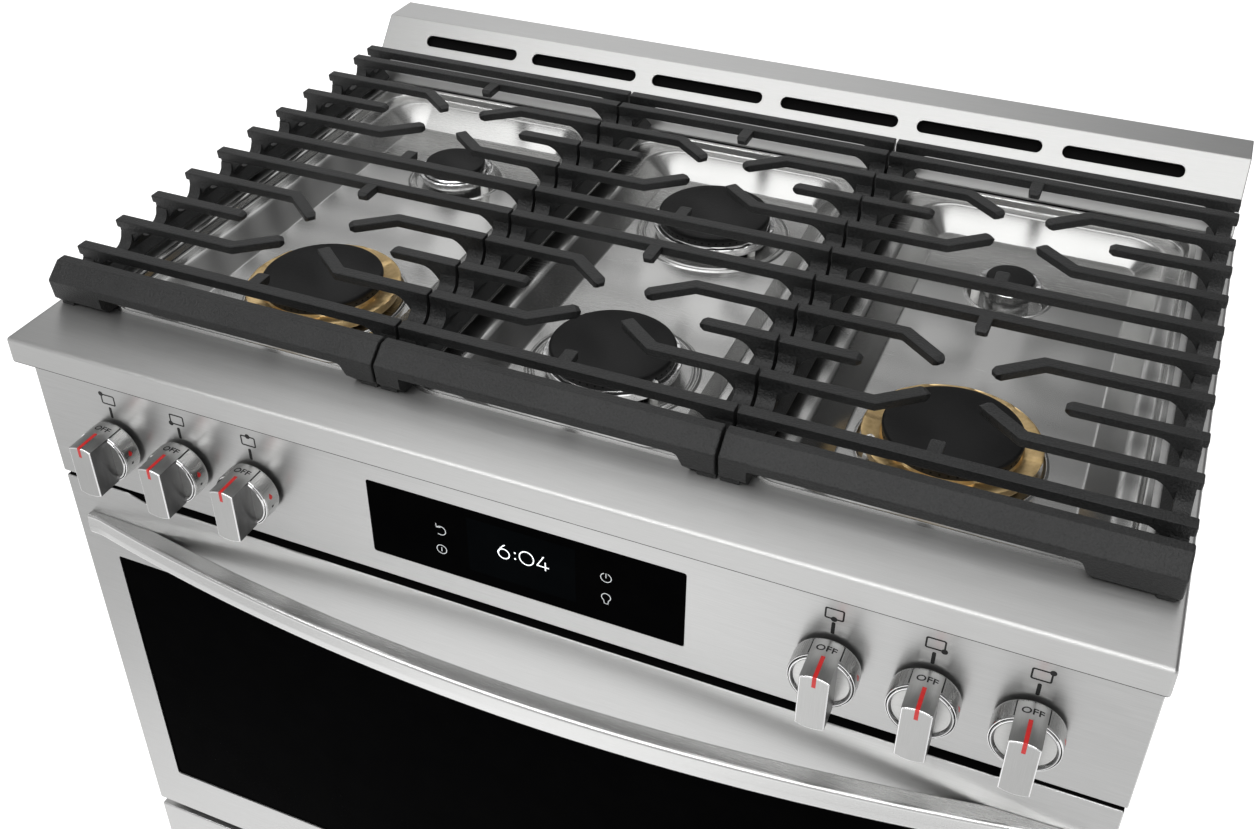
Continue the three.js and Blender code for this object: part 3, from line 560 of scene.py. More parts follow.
bm = bmesh.new()
outline = rrect(-457, 457, 0, 569.5, 3.0, 4)
lip = [(4.5, 914.0)]
for i in range(7):
    a = math.pi / 2 * i / 6
    lip.append((3.2 * (1 - math.sin(a)), 914 - 3.2 * (1 - math.cos(a))))
lip += [(0, 900), (0, 891.6), (0.4, 890.6), (1.4, 890.3), (6.5, 890.3)]
rings = [ring(bm, outline, d, w, in_xy) for d, w in lip]
# the lip's lowest faces, its bottom rounding and return flange, take the black material: a painted shadow line along
# the lip's lower edge
for k, (a, b) in enumerate(zip(rings, rings[1:])):
    bridge(bm, a, b, 2 if lip[k][1] <= 891.7 else 1)
top_loops = [rings[0]]
for i in range(3):
    px0, px1 = POCKETS[i]
    wx0, wx1 = WELLS[i]
    # the shallow step, then the well, as insets of the step's own outline
    step = rrect(px0, px1, 75, 562, 28, 10)
    path = blend_path([(-6, 914), (0, 914), (2.2, 905.4), (7, 904.9)], 2.4, 5)
    prev = None
    for d, w in path:
        rg = ring(bm, step, d, w, in_xy)
        if prev is None:
            top_loops.append(rg)
        else:
            bridge(bm, prev, rg)
        prev = rg
    well = rrect(wx0, wx1, 85, 553, 36, 10)
    path = blend_path([(-7, 904.9), (0, 904.9), (17, 889.5), (23.4, 884), (26.2, 884)], 6, 6)
    first = ring(bm, well, path[0][0], path[0][1], in_xy)
    bridge(bm, prev, first)
    prev = first
    for d, w in path[1:]:
        rg = ring(bm, well, d, w, in_xy)
        bridge(bm, prev, rg)
        prev = rg
    floor_loops = [prev]
    for j, row_name in enumerate(("front", "rear")):
        kind, head, cap = BURNERS[(SIDES[i], row_name)]
        # an embossed ring round each burner, and the dished seat under it
        R = {"large": 74.5, "medium": 74.5, "simmer": 50, "small": 40}[kind]
        emb = circle(BX[i], BY[j], R, 72)
        if kind in ("large", "medium"):
            pts = [(0, 884), (0.8, 884), (2.2, 885.6), (3.4, 885.6), (4.8, 884.0), (6.4, 884.0), (7.8, 885.0), (9.2, 884.2), (14, 883.8), (R - 22, 883.2)] if kind == "medium" else [(0, 884), (0.6, 884), (2.0, 885.5), (3.2, 885.5), (4.6, 883.9), (8, 883.6), (R - 22, 883.2)]
        else:
            pts = [(0, 884), (1, 884), (2.6, 884.9), (4.0, 884.6), (6.0, 882.4), (6.8, 880.0), (7.4, 872.4), (8.4, 871.6), (R - 18, 871.4)] if kind == "small" else [(0, 884), (1, 884), (2.6, 885.2), (4.0, 885.2), (7.0, 883.0), (9, 881.8), (R - 18, 881.2)]
        pts = blend_path(pts, 1.6, 3)
        prev_r = None
        for d, w in pts:
            rg = ring(bm, emb, d, w, in_xy)
            if prev_r is None:
                floor_loops.append(rg)
            else:
                bridge(bm, prev_r, rg)
            prev_r = rg
    fill(bm, floor_loops)
fill(bm, top_loops, 1)
bmesh.ops.remove_doubles(bm, verts=bm.verts, dist=0.0005)
bmesh.ops.recalc_face_normals(bm, faces=bm.faces)
# the sheet's upward side has to be its outside, whichever way the fill turned it
probe = max(bm.faces, key=lambda f: f.calc_area())
if probe.normal.z < 0:
    bmesh.ops.reverse_faces(bm, faces=bm.faces)
for v in bm.verts:
    v.co = place(*v.co)
me = bpy.data.meshes.new("cooktop_pressing")
bm.to_mesh(me)
bm.free()
for mat_ in (STEEL_PAN, STEEL_RIM, BLACK_AND_SHADOW_LINE):
    me.materials.append(mat_)
cooktop = finish_object(me, "cooktop_pressing", None, angle=40, weighted=False)
solid = cooktop.modifiers.new("sheet", "SOLIDIFY")
solid.thickness = 0.0014
solid.offset = -1
solid.use_even_offset = True
w = cooktop.modifiers.new("weighted", "WEIGHTED_NORMAL")
w.keep_sharp = True
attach(cooktop, "cabinet")
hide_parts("cooktop")

# ------------------------------------------------------------------ backguard
TILT = math.atan2(49, 55.8)
bm = bmesh.new()
guard = polygon([(570, 890.2), (662, 890.2), (662, 969.8), (619, 969.8), (570, 914)])


def rounded(points, r, n=4):
    """A polygon with its corners rounded by r, each radius given per point if r is a list."""
    out = []
    count = len(points)
    for i in range(count):
        a, b, c = Vector(points[i - 1]), Vector(points[i]), Vector(points[(i + 1) % count])
        va, vc = (a - b), (c - b)
        rr = r[i] if isinstance(r, (list, tuple)) else r
        if rr <= 0:
            out.append(tuple(b))
            continue
        half = va.angle(vc) / 2
        k = min(rr / math.tan(half), va.length * 0.45, vc.length * 0.45)
        rr = k * math.tan(half)
        p, q = b + va.normalized() * k, b + vc.normalized() * k
        bis = (va.normalized() + vc.normalized()).normalized()
        centre = b + bis * (rr / math.sin(half))
        a0 = math.atan2(p.y - centre.y, p.x - centre.x)
        a1 = math.atan2(q.y - centre.y, q.x - centre.x)
        da = (a1 - a0 + math.pi) % (2 * math.pi) - math.pi
        for j in range(n + 1):
            t_ = a0 + da * j / n
            out.append((centre.x + rr * math.cos(t_), centre.y + rr * math.sin(t_)))
    return out


guard_loop = polygon(rounded([(570.3, 890.2), (661.9, 890.2), (661.9, 969.7), (618.9, 969.7), (570.3, 914.2)], [0.5, 0.5, 2.0, 2.6, 1.5], 4))
shell(bm, guard_loop, edge_round(-454, 454, 0.9, 3), in_yz)
outer = temp_object(bm)
bm = bmesh.new()
inner_loop = polygon([(572.5, 880), (660.2, 880), (660.2, 968.1), (620.2, 968.1), (572.5, 913.8)])
shell(bm, inner_loop, [(0, -452.3), (0, 452.3)], in_yz)
cutters = [temp_object(bm)]
SLOTS = [(-401, -290), (-271, -150), (-131, -10), (10, 131), (150, 271), (290, 401)]
up_slope = Vector((0, math.sin(TILT), math.cos(TILT)))
out_slope = Vector((0, -math.cos(TILT), math.sin(TILT)))
for a, b in SLOTS:
    bm = bmesh.new()
    centre = Vector(((a + b) / 2, 604.1, 953))
    slot = rrect(-(b - a) / 2, (b - a) / 2, -6.2, 6.2, 5.9, 8)

    def at_slope(u, v, w, c=centre):
        return tuple(c + Vector((1, 0, 0)) * u + up_slope * v + out_slope * w)

    shell(bm, slot, [(-0.8, 6), (-0.8, 0.9), (-0.5, 0.2), (0, -0.3), (0, -14)], at_slope)
    cutters.append(temp_object(bm))
combine(outer, cutters, "DIFFERENCE")
guard_ob = from_temp(outer, "backguard_cover", [STEEL, STEEL_SLOPE_SHADED], "cabinet", ["backguard"], angle=30)
# the sloped face takes a darker copy of the stainless: painted shade that holds down the strip light's reflection on it
for p in guard_ob.data.polygons:
    if p.normal.z > 0.4 and p.normal.y < -0.5:
        p.material_index = 1
# black baffle behind the slots, near-black painted shade that makes the slots read as dark openings
bm = bmesh.new()
baffle = rrect(-448, 448, -17, 13, 2, 2)


def at_baffle(u, v, w):
    return tuple(Vector((0, 604.1, 953)) + Vector((1, 0, 0)) * u + up_slope * v + out_slope * w)


shell(bm, baffle, edge_round(-9.0, -7.2, 0.3, 2), at_baffle)
finish_mesh(bm, "backguard_baffle", [PAINTED_SHADE_BLACK], "cabinet")

# ------------------------------------------------------------------ grates
TOP, DEEP, FOOT = 952.0, 943.2, 914.6
GX = [(-452.4, -140.3), (-138.3, 138.3), (140.3, 452.4)]
ROWS = [98.5, 147.5, 196, 244.5, 293.5, 342, 391, 440, 488.5, 537.5, 565.5]


def bar_section(d=0.0, wt=5.75, wb=4.9, zt=TOP, zb=DEEP, r=1.2, n=2):
    pts = rounded([(-wb + d, zb + d), (wb - d, zb + d), (wt - d, zt - d), (-wt + d, zt - d)], [max(r - d, 0.05)] * 4, n)
    return [(a, b) for a, b in pts]


def bar(bm, pts, end0=1.2, end1=1.2, **shape):
    """A bar of cast section along points in plan, mitred at each bend, with rounded ends."""
    P = [Vector((x, y, 0)) for x, y in pts]
    stations = []
    up = Vector((0, 0, 1))

    def section(d):
        return bar_section(d, **shape)

    for i, p in enumerate(P):
        if i == 0 or i == len(P) - 1:
            d = ((P[1] - P[0]) if i == 0 else (P[-1] - P[-2])).normalized()
            side = Vector((d.y, -d.x, 0))
            e = end0 if i == 0 else end1
            if e > 1.35:
                seq = [(0.0, 2.5), (0.5, 1.9), (3.2, 0.5), (4.4, 0.0)]
            else:
                seq = [(e * (1 - math.cos(a)), e * (1 - math.sin(a))) for a in (0.0, math.pi / 4, math.pi / 2)]
            if i == 0:
                for along, inset in seq:
                    stations.append((p + d * along, side, up, inset))
            else:
                for along, inset in reversed(seq):
                    stations.append((p - d * along, side, up, inset))
        else:
            d0, d1 = (P[i] - P[i - 1]).normalized(), (P[i + 1] - P[i]).normalized()
            mean = (d0 + d1).normalized()
            side = Vector((mean.y, -mean.x, 0)) / max(mean.dot(d0), 0.5)
            stations.append((p, side, up, 0.0))
    sweep(bm, section, stations)


def gusset(bm, edge, sign, y, zb, w=5.0):
    """The casting's web where a bar runs down into the side rail. sign points into the grate."""
    start = 3.3 if abs(edge) > 400 else 0.5
    pts = [(edge + sign * start, 919.5), (edge + sign * 10.6, 919.5)]
    run = zb - 919.5
    for k in range(11):
        s_ = k / 10
        # leaves the rail steeply and meets the bar's underside smoothly
        pts.append((edge + sign * (11.0 + 21.0 * s_ ** 1.25), 920.0 + run * (1 - (1 - s_) ** 1.7)))
    pts += [(edge + sign * 38, zb + 1.0), (edge + sign * 38, 950), (edge + sign * start, 950)]
    if sign < 0:
        pts = pts[::-1]
    shell(bm, polygon(pts), edge_round(y - w, y + w, 0.8, 2), in_xz)


def as_temp(build):
    b = bmesh.new()
    build(b)
    return temp_object(b)


for i, side in enumerate(SIDES):
    xl, xr = GX[i]
    bx = BX[i]
    parts = []
    # side rails: scalloped between the bars, with three feet each
    for edge, sign in ((xl, 1), (xr, -1)):
        top = []
        y = 60.0
        while y <= 570.0:
            near = min(abs(y - r) for r in ROWS + [72.0])
            if near < 5.5:
                z = 941.0
            elif near < 17.5:
                z = 941.0 - math.sqrt(max(144.0 - (17.5 - near) ** 2, 0.0))
            else:
                z = 929.0
            top.append((y, z))
            y += 1.5
        bottom = [(570.0, FOOT), (552, FOOT), (546, 917.5), (334, 917.5), (328, FOOT), (308, FOOT), (302, 917.5), (90, 917.5), (84, FOOT), (60.0, FOOT)]
        pts = bottom[::-1] + top[::-1]
        outside = (edge < -400) or (edge > 400)
        x0, x1 = sorted((edge + sign * (3.0 if outside else 0.15), edge + sign * 15.5))
        parts.append(as_temp(lambda b, p=pts, a=x0, c=x1: shell(b, polygon(p), edge_round(a, c, 1.0, 2), in_yz)))
        web = [(edge + sign * 6, 918.2), (edge + sign * 22, 918.2), (edge + sign * 22.6, 920.6), (edge + sign * 15.6, 927.6), (edge + sign * 6, 927.6)]
        web = rounded(web if sign > 0 else web[::-1], 1.2, 2)
        parts.append(as_temp(lambda b, p=web: shell(b, polygon(p), edge_round(63.5, 566.5, 0.8, 2), in_xz)))
    # front bar with its sloping nose
    nose = polygon(rounded([(63, FOOT), (77.6, FOOT), (77.6, 952), (68.2, 952), (53.6, 940), (55.8, 922)], [1.5, 1.2, 1.4, 1.8, 2.2, 1.8], 3))
    parts.append(as_temp(lambda b: shell(b, nose, edge_round(xl, xr, 1.6, 3), in_yz)))
    for r in (0, 4, 5, 9, 10):
        parts.append(as_temp(lambda b, yy=ROWS[r]: bar(b, [(xl, yy), (xr, yy)])))
    for r in (1, 2, 3, 6, 7, 8):
        y = ROWS[r]
        by = BY[0] if r < 5 else BY[1]
        for s_, edge in ((-1, xl), (1, xr)):
            if r in (2, 7):
                parts.append(as_temp(lambda b, e=edge, yy=y, ss=s_: bar(b, [(e, yy), (bx + ss * 75, yy)], end1=1.6, zb=944.6)))
            else:
                tip = by + (21 if y > by else -21)
                parts.append(as_temp(lambda b, e=edge, yy=y, ss=s_, tt=tip: bar(b, [(e, yy), (bx + ss * 53, yy), (bx + ss * 19.5, tt)], end1=1.6, zb=944.2)))
    for y0, y1 in ((ROWS[0], 121), (ROWS[4], 268), (ROWS[5], 365), (ROWS[9], 510)):
        parts.append(as_temp(lambda b, a=y0, c=y1: bar(b, [(bx, a), (bx, c)] if a in (ROWS[0], ROWS[5]) else [(bx, c), (bx, a)], end0=1.4 if a in (ROWS[4], ROWS[9]) else 0.5, end1=0.5 if a in (ROWS[4], ROWS[9]) else 1.4, zt=TOP - 0.15, zb=943.6)))
    for edge, sign in ((xl, 1), (xr, -1)):
        for k, y in enumerate(ROWS):
            under = DEEP if k in (0, 4, 5, 9, 10) else 944.0
            parts.append(as_temp(lambda b, e=edge, g=sign, yy=y, zz=under: gusset(b, e, g, yy, zz)))
    casting = parts[0]
    # the first piece takes in all the others
    for p in parts[1:]:
        before = len(casting.data.polygons)
        combine(casting, [p], "UNION")
    relief = bmesh.new()
    left_foot, right_foot = {"left": (50, 24), "center": (21, 24), "right": (21, 58)}[side]
    shell(relief, polygon([(xl + left_foot, 905), (xr - right_foot + 6, 905), (xr - right_foot + 2, 916), (xr - right_foot - 5, 931), (xr - right_foot - 8, 932.5), (xl + left_foot + 1, 932.5), (xl + left_foot, 931.5)]), [(0, 50), (0, 80)], in_xz)
    combine(casting, [temp_object(relief)], "DIFFERENCE")
    from_temp(casting, "grate_casting_" + side, [IRON], "grate_" + side, ["grate_" + side], angle=40, clean=0.05)

# ------------------------------------------------------------------ burners
for i, side in enumerate(SIDES):
    for j, row_name in enumerate(("front", "rear")):
        kind, H, C = BURNERS[(side, row_name)]
        x, y = BX[i], BY[j]
        metal = BRASS if kind == "large" else ALU
        bm = bmesh.new()
        top = {"large": 899.2, "medium": 898.6, "simmer": 897.4, "small": 898.4}[kind]
        n = 120
        lid = {"large": 903.6, "medium": 903.6, "simmer": 900.8, "small": 900.0}[kind]
        wall = C - 1.0
        profile = [
            (0, 862), (19.5, 862), (19.5, 884.8), (H * 0.62, 885.2), (H - 7, 886.2), (H - 2.2, 889.0), (H - 0.4, top - 2.4), (H, top - 1.0),
            (H - 0.7, top), (H - 2.2, top + 0.1), (H - 5.2, top - 0.5), (wall + 1.4, top - 1.6), (wall + 0.2, top - 0.4), (wall, lid - 0.2), (wall - 2, lid - 0.1), (0, lid - 0.1),
        ]
        mats_at = [0] * 12 + [1, 1, 1]
        rows = lathe(bm, x, y, profile, n, mats=mats_at)
        # radial flutes in the ring's upper face
        lobes = {"large": 12, "medium": 10, "simmer": 10, "small": 8}[kind]
        for k in (8, 9, 10, 11):
            for q, v in enumerate(rows[k]):
                ph = (q / n * lobes) % 1.0
                dip = (ph if ph < 0.86 else (1 - ph) / 0.14 * 0.86)
                v.co.z -= (2.0 if kind == "large" else 0.9 if kind == "medium" else 0.3) * dip
        # gas ports round the wall, each a near-black disc of painted shade standing for the hole
        ports = int(2 * math.pi * wall / 6.4)
        for q in range(ports if kind != "small" else 0):
            a = 2 * math.pi * (q + 0.5) / ports
            d = Vector((math.cos(a), math.sin(a), 0))
            tt = Vector((-d.y, d.x, 0))
            z0 = {"large": 901.6, "medium": 901.4, "simmer": 899.2, "small": 899.3}[kind]
            c = Vector((x, y, z0)) + d * (wall + 0.02)
            loop0 = [bm.verts.new(c + tt * 0.85 * math.cos(w_) + Vector((0, 0, 0.85)) * math.sin(w_)) for w_ in [2 * math.pi * e / 8 for e in range(8)]]
            loop1 = [bm.verts.new(v.co + d * 0.16) for v in loop0]
            loop2 = [bm.verts.new(v.co - d * 0.6) for v in loop0]
            bridge(bm, loop2, loop0, 1)
            bridge(bm, loop0, loop1, 4)
            f = bm.faces.new(loop1)
            f.material_index = 4
            f = bm.faces.new(loop2)
            f.material_index = 1
        # spark electrode beside the ring
        ea = math.radians({"large": 205, "medium": -28, "simmer": -20, "small": 214}[kind])
        er = H - 6 if kind in ("large", "medium") else H + 4.5
        ex, ey = x + er * math.cos(ea), y + er * math.sin(ea)
        lathe(bm, ex, ey, [(0, 878), (3.8, 878), (3.8, top - 0.8), (3.2, top + 0.8), (1.0, top + 1.4), (0.9, top + 3.0), (0, top + 3.2)], 20, mats=[3, 3, 3, 3, 2, 2])
        finish_mesh(bm, "burner_base_%s_%s" % (side, row_name), [metal, PORT, TUBE, CERAMIC, PAINTED_SHADE_BLACK], "cabinet", ["burner_head_%s_%s" % (side, row_name)], angle=28, weighted=False, merge=0)
        # cap: a shallow enamelled lid with a soft edge
        bm = bmesh.new()
        z0, zt = (903.6, 909.4) if kind in ("large", "medium") else ((900.8, 905.8) if kind == "simmer" else (900.0, 903.9))
        prof = [(0, z0), (C - 3.4, z0), (C - 0.8, z0 + 0.2), (C - 0.1, z0 + 0.6), (C, z0 + 1.1)]
        e = 2.6 if kind in ("large", "medium") else 2.2
        for q in range(7):
            a = math.pi / 2 * q / 6
            prof.append((C - e + e * math.cos(a), zt - 1.0 - e + e * math.sin(a)))
        for q in range(1, 9):
            rr = (C - e) * (1 - q / 8)
            prof.append((rr if q < 8 else 0, zt - 1.0 + 1.0 * (1 - (rr / (C - e)) ** 2)))
        lathe(bm, x, y, prof, 96)
        finish_mesh(bm, "burner_lid_%s_%s" % (side, row_name), [CAP], "cabinet", ["burner_cap_%s_%s" % (side, row_name)], angle=30, weighted=False)

# ------------------------------------------------------------------ control panel
FACE = 19.4
KX, KZ, KR = (-382, -312, -242, 242, 312, 382), 813.5, 24.9
KNOBS = ("left_outer", "left_middle", "left_inner", "right_inner", "right_middle", "right_outer")
bm = bmesh.new()
panel = rrect(-456.3, 456.3, 760, 888.6, 1.2, 3)
holes = [rrect(-133.35, 133.35, 781.65, 855.85, 2.2, 4)] + [circle(x, KZ, 7, 32) for x in KX]
shell(
    bm, panel, edge_round(FACE, 60.4, 1.1, 4, last=False) + [(0.3, 60.9), (1.3, 60.9), (1.6, 60.4), (1.6, 21.2)], in_xz,
    holes=holes, hole_path=[(0.35, FACE), (0.1, FACE + 0.1), (0, FACE + 0.35), (0, 21.2)],
)
panel_ob = finish_mesh(bm, "panel_face", [STEEL, PAINTED_SHADE_BLACK], "cabinet", ["control_panel"], angle=35)
# the panel's underside over the door gap is painted near-black: painted shade
for p in panel_ob.data.polygons:
    if p.normal.z < -0.8 and p.center.z < 0.7605 and p.center.y > place(0, 24, 0).y:
        p.material_index = 1

bm = bmesh.new()
shell(bm, rrect(-133, 133, 782, 855.5, 1.8, 6), edge_round(FACE - 0.3, FACE + 4, 0.7, 4), in_xz)
finish_mesh(bm, "display_pane", [GLASS], "cabinet", ["display_glass"])

# printed marks: thin raised prints on the panel and on the glass
PRINT = FACE - 0.07


def print_loop(bm, outer, inner, y, mat=0, thick=0.09):
    shell(bm, outer, [(0, y), (0, y + thick)], in_xz, holes=[inner] if inner else (), hole_path=[(0, y), (0, y + thick)], mat=mat)


bm = bmesh.new()
DOTS = [(-1, 1), (-1, -1), (0, 1), (0, -1), (1, -1), (1, 1)]
for x, (dx, dz) in zip(KX, DOTS):
    cx, cz, hw, hh = x, 859.2, 7.1, 5.2
    print_loop(bm, rrect(cx - hw, cx + hw, cz - hh, cz + hh, 1.6, 4), rrect(cx - hw + 1.3, cx + hw - 1.3, cz - hh + 1.3, cz + hh - 1.3, 0.7, 4), PRINT)
    print_loop(bm, circle(cx + dx * hw * 0.92, cz + dz * hh * 0.92, 2.3, 24), None, PRINT - 0.02)
    print_loop(bm, rrect(x - 1.4, x + 1.4, 840.2, 851.6, 1.3, 4), None, PRINT)
finish_mesh(bm, "panel_print", [INK_AND_GROOVE_SHADE], "cabinet", merge=0)

GY = FACE - 0.3 - 0.06
bm = bmesh.new()
print_loop(bm, rrect(-45.5, 45.5, 793.5, 847.5, 1.0, 4), None, GY + 0.02, 0, 0.05)


def stroke(bm, pts, width, y, mat, closed=False, thick=0.08):
    """A printed line of even width along points in X-Z."""
    n = len(pts)
    left, right = [], []
    for i, p in enumerate(pts):
        a = Vector(pts[i - 1] if (i or closed) else p)
        b = Vector(pts[(i + 1) % n] if (i < n - 1 or closed) else p)
        d = (b - a).normalized()
        nn = Vector((-d.y, d.x)) * width / 2
        left.append(Vector(p) + nn)
        right.append(Vector(p) - nn)
    rows = [[bm.verts.new((q.x, yy, q.y)) for q in side_] for side_ in (left, right) for yy in (y, y + thick)]
    lf, lb, rf, rb = rows
    last = n if closed else n - 1
    for i in range(last):
        k = (i + 1) % n
        for a, b in ((lf, rf), (rf, rb), (rb, lb), (lb, lf)):
            f = bm.faces.new((a[i], a[k], b[k], b[i]))
            f.material_index = mat
    if not closed:
        for i in (0, n - 1):
            f = bm.faces.new((lf[i], rf[i], rb[i], lb[i]))
            f.material_index = mat


def arc(cx, cz, r, a0, a1, n=24, sx=1.0):
    return [(cx + sx * r * math.cos(math.radians(a0 + (a1 - a0) * i / n)), cz + r * math.sin(math.radians(a0 + (a1 - a0) * i / n))) for i in range(n + 1)]


# clock digits 6 : 0 4, drawn with even strokes
DW = 0.95
zc = 823.6
stroke(bm, [(-13.4, zc + 7.0), (-15.6, zc + 5.0), (-17.8, zc + 1.8), (-19.0, zc - 0.6), (-19.3, zc - 2.2)], DW, GY, 1)
stroke(bm, arc(-14.5, zc - 2.2, 4.75, 0, 360, 32)[:-1], DW, GY, 1, closed=True)
for dz in (-4.0, 2.0):
    shell(bm, circle(-4.9, zc + dz, 0.85, 16), [(0, GY), (0, GY + 0.08)], in_xz, mat=1)
stroke(bm, [(4.8 + 6.0 * math.cos(2 * math.pi * q / 36), zc + 6.6 * math.sin(2 * math.pi * q / 36)) for q in range(36)], DW, GY, 1, closed=True)
stroke(bm, [(20.6, zc - 6.9), (20.6, zc + 1.6)], DW, GY, 1)
stroke(bm, [(19.4, zc + 6.9), (13.6, zc - 3.4)], DW, GY, 1)
stroke(bm, [(13.3, zc - 3.5), (23.6, zc - 3.5)], DW, GY, 1)
# touch marks: back, on and off, timer, lamp
L = 0.62
stroke(bm, arc(-69.0, 825.6, 4.3, 138, -128, 30), L, GY, 2)
stroke(bm, [(-72.9, 832.0), (-72.6, 828.2), (-68.9, 828.9)], L, GY, 2)
stroke(bm, arc(-69.5, 806.0, 4.3, 0, 360, 32)[:-1], L, GY, 2, closed=True)
stroke(bm, [(-69.5, 803.9), (-69.5, 808.1)], L, GY, 2)
stroke(bm, arc(70.5, 828.5, 4.3, 110, 430, 32), L, GY, 2)
stroke(bm, [(70.5, 828.3), (70.5, 832.9)], L, GY, 2)
stroke(bm, arc(70.5, 808.6, 3.7, -58, 238, 28), L, GY, 2)
stroke(bm, [(68.6, 805.3), (69.0, 802.0), (72.0, 802.0), (72.4, 805.3)], L, GY, 2)
finish_mesh(bm, "display_print", [SCREEN, DIGITS, ICON_WHITE], "cabinet", merge=0, weighted=False)

# ------------------------------------------------------------------ vent strip
bm = bmesh.new()
# the whole strip is near-black: painted shade in the gap between door and panel
shell(bm, rrect(-450, 450, 758, 800, 1.0, 2), edge_round(62, 66, 0.5, 2), in_xz, holes=[rrect(i_ * 118 - 50, i_ * 118 + 50, 784, 790, 2.5, 4) for i_ in (-3, -2, -1, 0, 1, 2, 3)])
finish_mesh(bm, "vent_strip", [PAINTED_SHADE_BLACK], "cabinet", ["vent_trim"])

